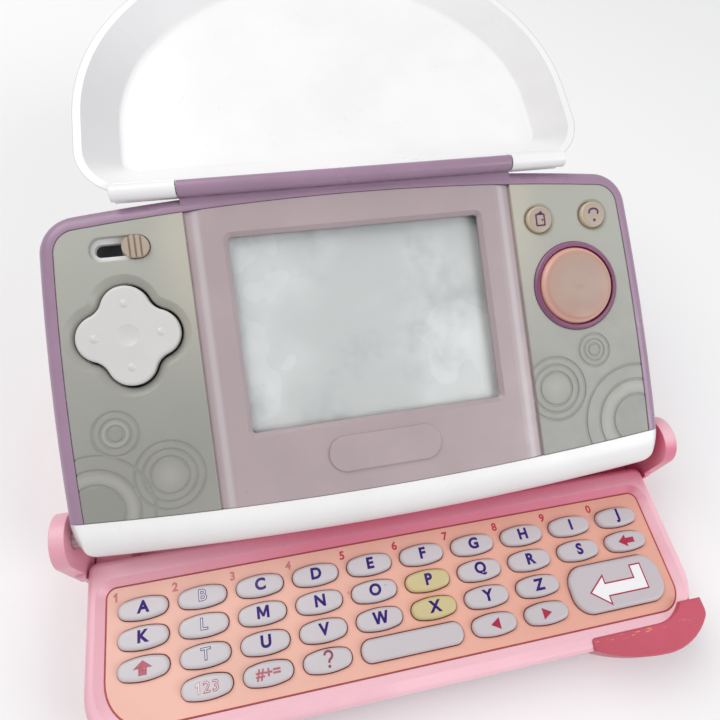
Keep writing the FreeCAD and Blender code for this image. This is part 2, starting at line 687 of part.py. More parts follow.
def side_panels():
    """Left and right face panels with openings for the pad, the ring, the switch and the buttons."""
    area = inlay_area(BED_Z, INLAY_Z1, INLAY_GAP)
    middle = box(-BEZEL_HALF - INLAY_GAP, BEZEL_HALF + INLAY_GAP, -FAR, FAR, 0, FAR)
    ring = cylinder(OK_X, OK_RISE, 0, FAR, OK_RING_R + INLAY_GAP)
    well = Part.makeLoft([
        pad_outline(PAD_GAP).translated(vec(0, 0, BED_Z)),
        pad_outline(PAD_GAP + PAD_WELL_RUN).translated(vec(0, 0, INLAY_Z1)),
    ], True, True)
    slot = long_slot(SWITCH_X, SWITCH_SLOT, SWITCH_SLOT_WIDTH, 0, FAR)
    area = cut(area, [middle, ring, well, slot] + button_holes(0, FAR) + button_dishes())
    return Part.Compound(cut(area, ring_grooves()).Solids)


def screen_bezel():
    """Pink surround of the screen: sloped strips at its sides and a blank badge below the screen."""
    area = inlay_area(BED_Z, INLAY_Z1, INLAY_GAP)
    area = solid_of(area.common(box(-BEZEL_HALF, BEZEL_HALF, -FAR, FAR, 0, FAR)))
    slope = Part.Face(Part.makePolygon([
        vec(BEZEL_HALF - BEZEL_SLOPE_RUN, 0, INLAY_Z1), vec(BEZEL_HALF, 0, INLAY_Z1 - BEZEL_SLOPE_DROP),
        vec(FAR, 0, INLAY_Z1 - BEZEL_SLOPE_DROP), vec(FAR, 0, FAR), vec(BEZEL_HALF - BEZEL_SLOPE_RUN, 0, FAR),
        vec(BEZEL_HALF - BEZEL_SLOPE_RUN, 0, INLAY_Z1)])).extrude(vec(0, FAR))
    area = cut(area, both_sides(slope))
    window = screen_slab(0, 0, FAR)
    mouth = Part.makeLoft([
        window_outline(0).translated(vec(0, 0, INLAY_Z1 - SCREEN_CHAMFER)),
        window_outline(SCREEN_CHAMFER).translated(vec(0, 0, INLAY_Z1)),
    ], True, True)
    area = cut(area, [window, mouth])
    badge_y = SCREEN_RISE - BADGE_DROP
    end_r = BADGE_WIDTH / 2 - INLAY_GAP
    badge = slab(-BADGE_LENGTH / 2, BADGE_LENGTH / 2, badge_y - BADGE_WIDTH / 2,
                 badge_y + BADGE_WIDTH / 2, BED_Z + INLAY_T / 2, INLAY_Z1 + BADGE_T, end_r, end_r)
    badge = badge.makeFillet(BADGE_T / 2, edges_at_z(badge, INLAY_Z1 + BADGE_T))
    return fused(area, [badge])


def window_outline(grow):
    corner = SCREEN_CORNER_R + grow
    return rounded_rect(-SCREEN_WIDTH / 2 - grow, SCREEN_WIDTH / 2 + grow,
                        SCREEN_RISE - SCREEN_HEIGHT / 2 - grow,
                        SCREEN_RISE + SCREEN_HEIGHT / 2 + grow, corner, corner)


def screen_slab(grow, z0, z1):
    return prism(window_outline(grow), z0, z1)


def direction_pad():
    """Four-lobed pad: a dot on each lobe, a hollow in the middle, and a socket for its pivot."""
    pad = prism(pad_outline(0), PAD_TOP - PAD_T, PAD_TOP)
    pad = pad.makeFillet(PAD_EDGE_R, edges_at_z(pad, PAD_TOP))
    socket = cylinder(PAD_X, PAD_RISE, 0, PAD_TOP - PAD_T / 2, PAD_SOCKET_R)
    dots = []
    for quarter in range(4):
        turn = math.radians(90 * quarter)
        dot_x = PAD_X + PAD_DOT_REACH * math.cos(turn)
        dot_y = PAD_RISE + PAD_DOT_REACH * math.sin(turn)
        ball_r = cap_radius(PAD_DOT_R, PAD_DOT_RISE)
        ball = Part.makeSphere(ball_r, vec(dot_x, dot_y, PAD_TOP + PAD_DOT_RISE - ball_r))
        dots.append(ball.common(cylinder(dot_x, dot_y, PAD_TOP - PAD_DOT_RISE, FAR, ball_r)))
    dish_r = cap_radius(PAD_DISH_R, PAD_DISH_DROP)
    dish = Part.makeSphere(dish_r, vec(PAD_X, PAD_RISE, PAD_TOP - PAD_DISH_DROP + dish_r))
    return cut(fused(pad, dots), [socket, dish])


def pad_pivot():
    """Rubber post on the board that the direction pad rocks on."""
    post = cylinder(PAD_X, PAD_RISE, BOARD_Z1 + PIVOT_GAP, PAD_TOP - PAD_T / 2 - PIVOT_GAP, PIVOT_R)
    tip = edges_at_z(post, PAD_TOP - PAD_T / 2 - PIVOT_GAP)
    return post.makeFillet(PIVOT_R / 2, tip)


def main_board():
    board = box(-BOARD_HALF, BOARD_HALF, BOARD_Y0, BOARD_Y1, BOARD_Z, BOARD_Z1)
    return cut(board, [cylinder(SPEAKER_X, SPEAKER_RISE, -FAR, FAR, SPEAKER_R + SPEAKER_GAP)])


def speaker():
    """Round speaker: a flat can with a raised magnet cup behind its cone."""
    z0 = -NOSE_R + WALL
    can = cylinder(SPEAKER_X, SPEAKER_RISE, z0, z0 + SPEAKER_T / 2, SPEAKER_R)
    cup = cylinder(SPEAKER_X, SPEAKER_RISE, z0, z0 + SPEAKER_T, SPEAKER_CUP_R)
    return fused(can, [cup])


def lid_outline(inset):
    """Lid in plan, lid closed, y measured from the lid axis towards the user as minus."""
    crown_y = -LID_LENGTH + LID_CROWN_R
    corner_x = LID_HALF - LID_HINGE_CORNER_R
    corner_y = -LID_HINGE_EDGE - LID_HINGE_CORNER_R
    shoulder_x = LID_HALF - LID_SHOULDER_R
    lean = math.degrees(math.atan2(crown_y + LID_SIDE_END, shoulder_x))
    return joined([
        corner_arc(corner_x, corner_y, LID_HINGE_CORNER_R - inset, 0, 90),
        corner_arc(-corner_x, corner_y, LID_HINGE_CORNER_R - inset, 90, 180),
        corner_arc(-shoulder_x, -LID_SIDE_END, LID_SHOULDER_R - inset, 180, 180 + lean),
        corner_arc(0, crown_y, LID_CROWN_R - inset, 180 + lean, 360 - lean),
        corner_arc(shoulder_x, -LID_SIDE_END, LID_SHOULDER_R - inset, 360 - lean, 360),
    ])


def lid_solid(inset, top):
    """Dish form from the rim plane to a height: sloped sides that round into the flat."""
    rise = top - LID_RIM_Z
    lean = math.atan2(rise, LID_SLOPE_RUN)
    tangent = LID_EDGE_R * math.tan(lean / 2)
    sections = [(0.0, LID_RIM_Z)]
    for step in range(LID_EDGE_STEPS + 1):
        turn = lean * (1 - step / LID_EDGE_STEPS)
        sections.append((LID_SLOPE_RUN + tangent - LID_EDGE_R * math.sin(turn),
                         top - LID_EDGE_R * (1 - math.cos(turn))))
    wires = [lid_outline(inset + run).translated(vec(0, 0, z)) for run, z in sections]
    return Part.makeLoft(wires, True, True)


def lid_shell():
    """Shallow dished cover with two knuckles, built closed about its own axis, then opened."""
    top = LID_RIM_Z + LID_DEPTH
    shell = cut(lid_solid(0, top), [lid_solid(WALL, top - WALL)])
    x0 = KNUCKLE_X0 + KNUCKLE_GAP
    x1 = KNUCKLE_X1 - KNUCKLE_GAP
    arm = box(x0, x1, -LID_HINGE_EDGE - WALL, 0, 0, LID_RIM_Z + WALL)
    knuckle = fused(rod(x0, x1, 0, 0, KNUCKLE_R), [arm])
    shell = fused(shell, both_sides(knuckle))
    shell = cut(shell, both_sides(rod(x0 - KNUCKLE_GAP, x1 + KNUCKLE_GAP, 0, 0, LID_PIN_R + PIN_RUNNING_GAP)))
    shell.rotate(vec(0, 0), X_AXIS, -180 - LID_OPEN_PAST_FLAT)
    shell.translate(vec(0, LID_AXIS_RISE, LID_AXIS_Z))
    return shell


# Base, drawer and keys, in the part's own frame

def base_case():
    """Flat housing: drawer channel, rear deck with the battery bay, and the tilt ears."""
    case = slab(-BASE_HALF, BASE_HALF, BASE_FRONT, BASE_REAR, 0, BASE_HEIGHT, BASE_FRONT_R, BASE_REAR_R)
    case = case.makeFillet(BASE_FOOT_R, edges_at_z(case, 0))
    case = case.makeFillet(BASE_TOP_R, edges_at_z(case, BASE_HEIGHT))
    eye = rod(BASE_INNER, BASE_HALF, HINGE_Y, HINGE_Z, EAR_R)
    web = box(BASE_INNER, BASE_HALF, HINGE_Y - EAR_R, HINGE_Y + EAR_R, BASE_HEIGHT / 2, HINGE_Z)
    case = fused(case, both_sides(fused(eye, [web])))
    channel = box(-BASE_INNER, BASE_INNER, -FAR, CHANNEL_Y1, BASE_FLOOR, FAR)
    tunnel = box(TUNNEL_X0, BASE_INNER, BASE_FRONT, TUNNEL_Y1, BASE_FLOOR, TUNNEL_Z1)
    groove = box(BASE_INNER - SLIDE_GAP, BASE_INNER + RIB_REACH, -FAR, TUNNEL_Y1, GROOVE_Z0, GROOVE_Z1)
    bay = box(-BAY_HALF, BAY_HALF, BAY_Y0, BAY_Y1, -FAR, BAY_TOP)
    pocket = box(BAY_HALF + BAY_WALL, TUNNEL_X0 - BAY_WALL, BAY_Y0, BAY_Y1, -FAR, BAY_TOP)
    bore = rod(BASE_INNER - SLIDE_GAP, FAR, HINGE_Y, HINGE_Z, TILT_PIN_R + PIN_RUNNING_GAP)
    core = slab(-BASE_HALF + SEAM_CUT, BASE_HALF - SEAM_CUT, BASE_FRONT + SEAM_CUT, BASE_REAR - SEAM_CUT,
                0, BASE_HEIGHT, BASE_FRONT_R - SEAM_CUT, BASE_REAR_R - SEAM_CUT)
    seam = cut(box(-FAR, FAR, -FAR, FAR, SEAM_RISE, SEAM_RISE + SEAM_CUT), [core])
    tools = [channel, bay, door_slab(DOOR_GAP), seam]
    for tool in (tunnel, groove, pocket, bore):
        tools += both_sides(tool)
    return cut(case, tools)


def door_slab(grow):
    reach = DOOR_LIP + grow
    return slab(-BAY_HALF - reach, BAY_HALF + reach, BAY_Y0 - reach, BAY_Y1 + reach,
                0, DOOR_T + grow, DOOR_LIP, DOOR_LIP)


def battery_door():
    """Cover under the battery bay, with a thumb groove."""
    door = door_slab(0)
    groove = rod(-CELL_R, CELL_R, BAY_Y1, 0, DOOR_T / 2)
    return cut(door, [groove])


def battery_cells():
    cells = []
    for row in (-1, 1):
        y = (BAY_Y0 + BAY_Y1) / 2 + row * (CELL_R + CELL_GAP / 2)
        for x0 in (-CELL_LENGTH - CELL_GAP / 2, CELL_GAP / 2):
            can = rod(x0, x0 + CELL_LENGTH - CELL_GAP, y, CELL_Z, CELL_R)
            stud = rod(x0, x0 + CELL_LENGTH, y, CELL_Z, CELL_STUD_R)
            cells.append(fused(can, [stud]))
    return Part.Compound(cells)


def panel_outline(grow):
    """The key panel's outline, grown outwards by a distance."""
    radii = [max(r + grow, PANEL_GAP) for r in (PANEL_LEFT_R, PANEL_RIGHT_R, PANEL_REAR_R)]
    return cornered(-PANEL_HALF - grow, PANEL_HALF + grow, PANEL_Y0 - grow, PANEL_Y1 + grow, *radii)


def panel_slab(grow, z0, z1):
    return prism(panel_outline(grow), z0, z1)


def panel_bevel():
    """Sloped mouth of the recess that the key panel lies in."""
    low = panel_outline(PANEL_GAP).translated(vec(0, 0, PANEL_Z1))
    high = panel_outline(PANEL_GAP + BEVEL_RUN).translated(vec(0, 0, RIM_Z))
    return Part.makeLoft([low, high], True, True)


def drawer_tray():
    """Pink drawer: recess for the key panel, hollow underside and two runner arms."""
    tray = slab(-TRAY_HALF, TRAY_HALF, TRAY_FRONT, TRAY_REAR, TRAY_Z, RIM_Z, TRAY_CORNER_R, TRAY_WALL)
    front_edges = [e for e in edges_at_z(tray, RIM_Z) if e.BoundBox.YMax < TRAY_REAR - TRAY_WALL / 2]
    tray = tray.makeFillet(TRAY_TOP_R, front_edges)
    seat = panel_slab(PANEL_GAP, PANEL_Z0, RIM_Z)
    well = panel_slab(-PANEL_LEDGE, MEMBRANE_Z0, RIM_Z)
    hollow_top = MEMBRANE_Z0 - TRAY_WALL
    hollow = slab(-TRAY_HALF + TRAY_WALL, TRAY_HALF - TRAY_WALL, TRAY_FRONT + TRAY_WALL,
                  TRAY_REAR - TRAY_WALL, 0, hollow_top, TRAY_CORNER_R - TRAY_WALL, TRAY_WALL / 2)
    tray = cut(tray, [seat, well, panel_bevel(), hollow] + corner_grips().Solids)
    arm = box(TRAY_HALF - ARM_WIDTH, TRAY_HALF, TRAY_REAR - TRAY_WALL, TRAY_REAR + ARM_LENGTH,
              TRAY_Z, TRAY_Z + ARM_HEIGHT)
    rib = box(TRAY_HALF - RIB_REACH, TRAY_HALF + RIB_REACH, TRAY_REAR + TRAY_WALL, TRAY_REAR + ARM_LENGTH,
              TRAY_Z + RIB_RISE, TRAY_Z + RIB_RISE + RIB_HEIGHT)
    return fused(tray, both_sides(fused(arm, [rib])))


def corner_grips():
    """Coral grips over the drawer's front corners, bowed out from the middle towards the ends."""
    turn_x = TRAY_HALF - TRAY_CORNER_R
    turn_y = TRAY_FRONT + TRAY_CORNER_R
    bow_r = cap_radius(turn_x - GRIP_START, GRIP_T)
    bow = cylinder(turn_x, TRAY_FRONT - GRIP_T + bow_r, GRIP_Z0, GRIP_Z1, bow_r)
    bow = bow.common(box(GRIP_START, turn_x, -FAR, turn_y, 0, FAR))
    turn = cylinder(turn_x, turn_y, GRIP_Z0, GRIP_Z1, TRAY_CORNER_R + GRIP_T)
    turn = turn.common(box(turn_x, TRAY_HALF, -FAR, TRAY_FRONT + GRIP_WRAP, 0, FAR))
    core = slab(-TRAY_HALF + GRIP_LAP, TRAY_HALF - GRIP_LAP, TRAY_FRONT + GRIP_LAP, TRAY_REAR,
                0, FAR, TRAY_CORNER_R - GRIP_LAP, TRAY_WALL)
    grip = solid_of(cut(fused(bow, [turn]), [core]))
    grip = grip.makeFillet(GRIP_NOSE_R, upright_edges(grip, GRIP_START, TRAY_FRONT + GRIP_LAP))
    grip = grip.makeFillet(GRIP_SIDE_R, upright_edges(grip, TRAY_HALF, TRAY_FRONT + GRIP_WRAP - TOUCH))
    grip = grip.makeFillet(GRIP_EDGE_R, edges_at_z(grip, GRIP_Z1))
    return Part.Compound(both_sides(grip))


def key_layout():
    """Name, first column, first row, columns and rows of each key; row 0 is the rear row."""
    keys = []
    for index, letter in enumerate("abcdefghij"):
        keys.append((letter, index, 0, 1, 1))
    for index, letter in enumerate("klmnopqrs"):
        keys.append((letter, index, 1, 1, 1))
    keys.append(("backspace", 9, 1, 1, 1))
    keys.append(("shift", 0, 2, 1, 1))
    for index, letter in enumerate("tuvwxyz"):
        keys.append((letter, index + 1, 2, 1, 1))
    for index, name in enumerate(("numbers", "symbols", "question")):
        keys.append((name, index + 1, 3, 1, 1))
    keys.append(("space", 4, 3, 2, 1))
    keys.append(("left", 6, 3, 1, 1))
    keys.append(("right", 7, 3, 1, 1))
    keys.append(("enter", 8, 2, 2, 2))
    return keys


def key_box(column, row, columns, rows):
    """Plan limits of a key's cap."""
    x0 = (column - (KEY_COLUMNS - 1) / 2) * KEY_PITCH_X - KEY_WIDTH / 2
    x1 = x0 + KEY_WIDTH + (columns - 1) * KEY_PITCH_X
    y1 = ROW_ONE_Y - row * KEY_PITCH_Y + KEY_DEPTH / 2
    y0 = y1 - KEY_DEPTH - (rows - 1) * KEY_PITCH_Y
    return x0, x1, y0, y1


def key_outline(limits, grow):
    """Oval with bowed long sides, or for a wide key a rounded rectangle, grown by a distance."""
    x0, x1, y0, y1 = limits
    if x1 - x0 > KEY_PITCH_X:
        corner = ENTER_CORNER_R if y1 - y0 > KEY_PITCH_Y else SPACE_CORNER_R
        corner = min(corner, CORNER_SHARE * (y1 - y0)) + grow
        return rounded_rect(x0 - grow, x1 + grow, y0 - grow, y1 + grow, corner, corner)
    mid_x = (x0 + x1) / 2
    mid_y = (y0 + y1) / 2
    half_depth = (y1 - y0) / 2
    reach = (x1 - x0) / 2 - KEY_END_R
    bow_r = (reach ** 2 + half_depth ** 2 - KEY_END_R ** 2) / (2 * (half_depth - KEY_END_R))
    drop = bow_r - half_depth
    lean = math.degrees(math.atan2(drop, reach))
    return joined([
        corner_arc(mid_x + reach, mid_y, KEY_END_R + grow, -lean, lean),
        corner_arc(mid_x, mid_y - drop, bow_r + grow, lean, 180 - lean),
        corner_arc(mid_x - reach, mid_y, KEY_END_R + grow, 180 - lean, 180 + lean),
        corner_arc(mid_x, mid_y + drop, bow_r + grow, 180 + lean, 360 - lean),
    ])


def key_slab(limits, grow, z0, z1):
    return prism(key_outline(limits, grow), z0, z1)


def key_cap(limits):
    """Key cap with a tab at each end, held under the panel."""
    top = PANEL_Z1 + KEY_PROUD
    cap = key_slab(limits, 0, FLANGE_Z0, top)
    cap = cap.makeFillet(KEY_EDGE_R, edges_at_z(cap, top))
    x0, x1, y0, y1 = limits
    middle = (y0 + y1) / 2
    tab = box(x0 - KEY_TAB_REACH, x1 + KEY_TAB_REACH, middle - KEY_TAB_DEPTH / 2, middle + KEY_TAB_DEPTH / 2,
              FLANGE_Z0, FLANGE_Z1)
    return fused(cap, [tab])


def key_panel():
    holes = [key_slab(key_box(*key[1:]), KEY_GAP, 0, FAR) for key in key_layout()]
    return cut(panel_slab(0, PANEL_Z0, PANEL_Z1), holes)


def key_membrane():
    """Rubber mat with a low dome under each key, clear of the keys' full travel."""
    reach = -PANEL_LEDGE - MEMBRANE_GAP
    mat = panel_slab(reach, MEMBRANE_Z0, MEMBRANE_Z1 - MEMBRANE_GAP)
    domes = []
    for key in key_layout():
        x0, x1, y0, y1 = key_box(*key[1:])
        domes.append(cylinder((x0 + x1) / 2, (y0 + y1) / 2, MEMBRANE_Z0, MEMBRANE_Z1, DOME_R))
    return fused(mat, domes)


def build():
    parts = {
        "base_case": base_case(),
        "battery_door": battery_door(),
        "battery_cells": battery_cells(),
        "drawer_tray": drawer_tray(),
        "key_panel": key_panel(),
        "key_membrane": key_membrane(),
        "corner_grips": corner_grips(),
    }
    for key in key_layout():
        parts["key_" + key[0]] = key_cap(key_box(*key[1:]))
    unit = {
        "rear_shell": rear_shell(),
        "front_frame": front_frame(),
        "trim_frame": trim_frame(),
        "side_panels": side_panels(),
        "screen_bezel": screen_bezel(),
        "screen_window": screen_slab(LENS_LAP, BED_Z - LENS_T, BED_Z),
        "lcd_module": screen_slab(LCD_BORDER, PLATE_Z0 - LCD_GAP - LCD_T, PLATE_Z0 - LCD_GAP),
        "main_board": main_board(),
        "speaker": speaker(),
        "case_screws": case_screws(),
        "hinge_pins": hinge_pins(),
        "dpad": direction_pad(),
        "dpad_pivot": pad_pivot(),
        "power_switch": power_switch(),
        "lid_shell": lid_shell(),
    }
    for name, x, y, radius, top in round_buttons():
        unit[name] = push_button(x, y, radius, top)
    for name, shape in unit.items():
        parts[name] = place_unit(shape)
    return parts


def main():
    os.makedirs("parts", exist_ok=True)
    for name, shape in build().items():
        shape.exportStep(os.path.join("parts", name + ".step"))
        box_of = shape.BoundBox
        print(f"{name:16s} solids {len(shape.Solids)} volume {shape.Volume:9.1f} valid {shape.isValid()} "
              f"x {box_of.XMin:.1f}..{box_of.XMax:.1f} y {box_of.YMin:.1f}..{box_of.YMax:.1f} "
              f"z {box_of.ZMin:.1f}..{box_of.ZMax:.1f}")


main()
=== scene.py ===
import json
import math
from functools import cached_property, partial, reduce

import bmesh
import bpy
from mathutils import Euler, Matrix, Vector
from mathutils.geometry import convex_hull_2d


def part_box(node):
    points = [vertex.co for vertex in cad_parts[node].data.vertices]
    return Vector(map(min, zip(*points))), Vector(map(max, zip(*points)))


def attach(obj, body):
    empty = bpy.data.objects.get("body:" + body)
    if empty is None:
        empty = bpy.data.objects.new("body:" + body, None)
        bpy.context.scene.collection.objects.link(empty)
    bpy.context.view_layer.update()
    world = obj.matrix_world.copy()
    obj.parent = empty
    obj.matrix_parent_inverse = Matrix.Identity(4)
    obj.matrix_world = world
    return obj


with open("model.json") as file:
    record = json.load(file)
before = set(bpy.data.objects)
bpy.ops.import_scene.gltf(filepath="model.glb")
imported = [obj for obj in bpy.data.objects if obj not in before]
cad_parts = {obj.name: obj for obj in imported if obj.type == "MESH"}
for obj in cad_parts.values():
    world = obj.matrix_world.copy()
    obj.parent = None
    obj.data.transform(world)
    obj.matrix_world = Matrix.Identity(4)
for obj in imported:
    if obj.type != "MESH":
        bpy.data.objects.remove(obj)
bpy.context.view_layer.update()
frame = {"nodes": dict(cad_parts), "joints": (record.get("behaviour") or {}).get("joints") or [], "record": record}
NODES = frame["nodes"]
SLOTS = {part["node"]: part["material_slot"] for part in frame["record"]["subparts"]}
MM = 0.001                  # lengths are in millimetres, apart from those of the floor, lights and camera

# Screen unit's own frame: origin on the tilt axis, y up the face, z out of the face
TILT_JOINT = next(joint for joint in frame["joints"] if joint["name"] == "screen_tilt")
TILT = math.radians(-TILT_JOINT["range_deg"][0])
HINGE = Vector(TILT_JOINT["pos_m"])
UNIT = Matrix.Translation(HINGE) @ Matrix.Rotation(TILT, 4, "X")
FACE_OUT = (0.0, -math.sin(TILT), math.cos(TILT))


def face_corners(node):
    """Corners of a node's mesh in the screen unit's own frame."""
    to_face = UNIT.inverted()
    return [to_face @ vertex.co / MM for vertex in NODES[node].data.vertices]


def face_box(node):
    """Lowest and highest corner of a node in the screen unit's own frame, to a hundredth of a millimetre."""
    axes = list(zip(*face_corners(node)))
    return [Vector([round(limit(axis), 2) for axis in axes]) for limit in (min, max)]


def face_middle(node):
    low, high = face_box(node)
    return (low + high) / 2


SCREEN_RISE = face_middle("lcd_module").y
PANEL_FACE = face_box("side_panels")[1].z
BEZEL_HALF = face_box("screen_bezel")[1].x
OK_MIDDLE = face_middle("ok_button")
OK_R = 9.25                 # radii of the buttons where they come through the face
BUTTON_R = 3.1


def srgb(red, green, blue):
    """Scene-linear colour of a colour given as 0 to 255 screen values."""
    linear = []
    for value in (red, green, blue):
        share = value / 255
        linear.append(share / 12.92 if share <= 0.04045 else ((share + 0.055) / 1.055) ** 2.4)
    return (*linear, 1.0)


def scaled(colour, factor):
    return (*(min(value * factor, 1.0) for value in colour[:3]), 1.0)


def tinted(colour, factors):
    return (*(value * factor for value, factor in zip(colour, factors)), 1.0)


# Colours: what a part is moulded in, then what it turns to where light, use or dust changes it
PINK = srgb(252, 199, 211)
# Pink paler on slopes that look away, darker at the left end, deep behind the keyboard: painted light and shade
PINK_SLOPE_LIT = srgb(255, 207, 219)
PINK_LEFT_SHADE = srgb(232, 164, 182)
PINK_BEHIND_SHADOW = srgb(223, 94, 128)
PEACH = srgb(243, 192, 175)
# Darker peach at the user's right: painted shade
PEACH_RIGHT_SHADE = srgb(230, 166, 146)
KEY = srgb(211, 206, 209)
# Darker key colour at the user's right: painted shade
KEY_RIGHT_SHADE = srgb(198, 189, 193)
WHITE = srgb(250, 249, 249)
# Grey for the white case's upright walls: painted shade
WHITE_WALL_SHADE = srgb(192, 190, 192)
PURPLE = srgb(164, 134, 158)
# Deep magenta round the OK button: painted shade, lighter at the top
MAGENTA = srgb(122, 36, 88)
MAGENTA_TOP = srgb(140, 74, 116)
GREY = srgb(158, 157, 151)
GREY_TOP = srgb(184, 185, 174)
GREY_CREAM = srgb(204, 197, 181)
RING_PALE = srgb(186, 185, 177)
RING_DARK = srgb(142, 142, 135)
MAUVE = srgb(182, 165, 168)
# Paler mauve for the bezel's side strips: painted highlight
MAUVE_HIGHLIGHT = srgb(208, 201, 203)
SALMON = srgb(182, 156, 143)
# Darker salmon on the knob towards the user: painted shade
SALMON_LOW_SHADE = srgb(170, 136, 122)
SALMON_RIM = srgb(198, 152, 134)
SALMON_SIDE = srgb(232, 176, 160)
BEIGE = srgb(184, 168, 152)
BEIGE_SIDE = srgb(212, 196, 172)
CORAL = srgb(200, 84, 104)
YELLOW_STREAK = srgb(238, 176, 98)
GLASS = (0.95, 0.96, 0.955, 1.0)
# Pale clouds and dark blotches on the display: painted reflection
DISPLAY_DIM = srgb(190, 191, 191)
DISPLAY_BRIGHT = srgb(216, 217, 217)
DISPLAY_REFLECTED_BLOTCH = srgb(160, 162, 164)
DISPLAY_CELL = srgb(120, 124, 124)
BOARD = srgb(22, 78, 44)
BOARD_PALE = srgb(26, 88, 50)
TRACK = srgb(52, 120, 72)
VIOLET = srgb(44, 4, 114)
RED = srgb(172, 36, 72)
PAPER_DIM = (0.95, 0.95, 0.95, 1.0)
PAPER_BRIGHT = (0.98, 0.98, 0.98, 1.0)
RUST_DUST_AND_SHADE = (0.5, 0.19, 0.15)       # what dust and painted shade in the keyboard's gaps leave of a colour

NOISE_SPAN = (0.3, 0.7)             # most of a noise's values lie between these
PROBE_RAYS = 6                      # rays that look for corners and edges near a point
OPEN_TO_HIDDEN = (0.95, 0.35)       # share of a point's surroundings that is open
FLAT_TO_ROUNDED = (0.995, 0.9)      # cosine between a face and its rounded edge


class Shade:
    """A material: its principled shader and short calls for the nodes that feed it."""

    def __init__(self, name, **sockets):
        self.material = bpy.data.materials.new(name)
        self.material.use_nodes = True
        self.nodes = self.material.node_tree.nodes
        self.links = self.material.node_tree.links
        self.shader = self.nodes["Principled BSDF"]
        for socket, value in sockets.items():
            self.shader.inputs[socket.replace("_", " ")].default_value = value

    def node(self, kind, inputs=None, **settings):
        made = self.nodes.new("ShaderNode" + kind)
        for name, value in settings.items():
            setattr(made, name, value)
        for socket, value in (inputs or {}).items():
            self.feed(made.inputs[socket], value)
        return made

    def feed(self, socket, value):
        if isinstance(value, bpy.types.NodeSocket):
            self.links.new(value, socket)
        else:
            socket.default_value = value

    @cached_property
    def mm(self):
        """Position on the part, which stays with the piece in every pose."""
        coord = self.node("TexCoord").outputs["Object"]
        return self.node("VectorMath", {0: coord, 3: 1 / MM}, operation="SCALE").outputs[0]

    @cached_property
    def face_mm(self):
        """Position in the screen unit's own frame."""
        coord = self.node("TexCoord").outputs["Object"]
        mapping = self.node("Mapping", {"Vector": coord, "Location": HINGE, "Rotation": (TILT, 0, 0),
                                        "Scale": (MM, MM, MM)}, vector_type="TEXTURE")
        return mapping.outputs[0]

    @cached_property
    def flat_mm(self):
        """Position on the screen unit's face, without the height over it."""
        return self.node("VectorMath", {0: self.face_mm, 1: (1, 1, 0)}, operation="MULTIPLY").outputs[0]

    @cached_property
    def facing(self):
        """Direction that a face looks in, which stays with the piece in every pose."""
        return self.node("TexCoord").outputs["Normal"]

    def axes(self, vector):
        return self.node("SeparateXYZ", {0: vector}).outputs

    def face_distance(self, x, y):
        """Distance over the screen unit's face from a point on it."""
        return self.node("VectorMath", {0: self.flat_mm, 1: (x, y, 0)}, operation="DISTANCE").outputs["Value"]

    def along(self, first, second):
        """Cosine of the angle between two directions."""
        return self.node("VectorMath", {0: first, 1: second}, operation="DOT_PRODUCT").outputs["Value"]

    def noise(self, per_mm, detail=3.0, rough=0.55, stretch=None):
        where = self.mm
        if stretch:
            where = self.node("VectorMath", {0: where, 1: stretch}, operation="MULTIPLY").outputs[0]
        made = self.node("TexNoise", {"Vector": where, "Scale": per_mm, "Detail": detail, "Roughness": rough})
        return made.outputs[0]

    def ramp(self, value, span, least=0.0, most=1.0):
        """Smooth change from least to most while a value crosses a span."""
        made = self.node("MapRange", {"Value": value, "From Min": span[0], "From Max": span[1],
                                      "To Min": least, "To Max": most}, interpolation_type="SMOOTHSTEP")
        return made.outputs[0]

    def patches(self, per_mm, span=NOISE_SPAN, least=0.0, most=1.0, **noise):
        """Uneven patches: least where the noise is below a span of its values, most where it is above."""
        return self.ramp(self.noise(per_mm, **noise), span, least, most)

    def math(self, operation, first, second=0.0):
        return self.node("Math", {0: first, 1: second}, operation=operation).outputs[0]

    def product(self, first, second):
        return self.math("MULTIPLY", first, second)

    def highest(self, *values):
        return reduce(partial(self.math, "MAXIMUM"), values)

    def off(self, value, middle):
        """How far a value is from a middle one."""
        return self.math("ABSOLUTE", self.math("SUBTRACT", value, middle))

    def mix(self, factor, first, second):
        """Mix of two colours, whose sockets come after a mix node's sockets for numbers and vectors."""
        return self.node("Mix", {"Factor": factor, 6: first, 7: second}, data_type="RGBA").outputs[2]

    def crevice(self, reach):
        """0 on open faces, towards 1 in corners nearer than a reach."""
        hidden = self.node("AmbientOcclusion", {"Distance": reach * MM}, samples=PROBE_RAYS).outputs["AO"]
        return self.ramp(hidden, OPEN_TO_HIDDEN)

    def edge(self, reach):
        """Rounded normal, and a mask of the edges that it rounds."""
        rounded = self.node("Bevel", {"Radius": reach * MM}, samples=PROBE_RAYS).outputs[0]
        true = self.node("NewGeometry").outputs["Normal"]
        return rounded, self.ramp(self.along(rounded, true), FLAT_TO_ROUNDED)

    def bump(self, height, depth, normal=None):
        made = self.node("Bump", {"Height": height, "Distance": depth * MM, "Strength": 1.0})
        if normal:
            self.feed(made.inputs["Normal"], normal)
        return made.outputs[0]

    def finish(self, colour, roughness, normal=None):
        self.feed(self.shader.inputs["Base Color"], colour)
        self.feed(self.shader.inputs["Roughness"], roughness)
        if normal:
            self.feed(self.shader.inputs["Normal"], normal)
        return self.material


# Moulded plastic: how fine each unevenness is, as noise per millimetre, and how strong
MOTTLE_PER_MM = 0.045
WEAR_PER_MM = 0.35
DUST_AND_SHADE_PER_MM = 0.22
SPECKS_PER_MM = 0.55
GLOSS_PER_MM = 0.16
GRAIN_PER_MM = 4.5
WORN_PALER = 1.35
SPECK_SHARE = 0.35
LESS_ROUGH = 0.06
MORE_ROUGH = 0.07


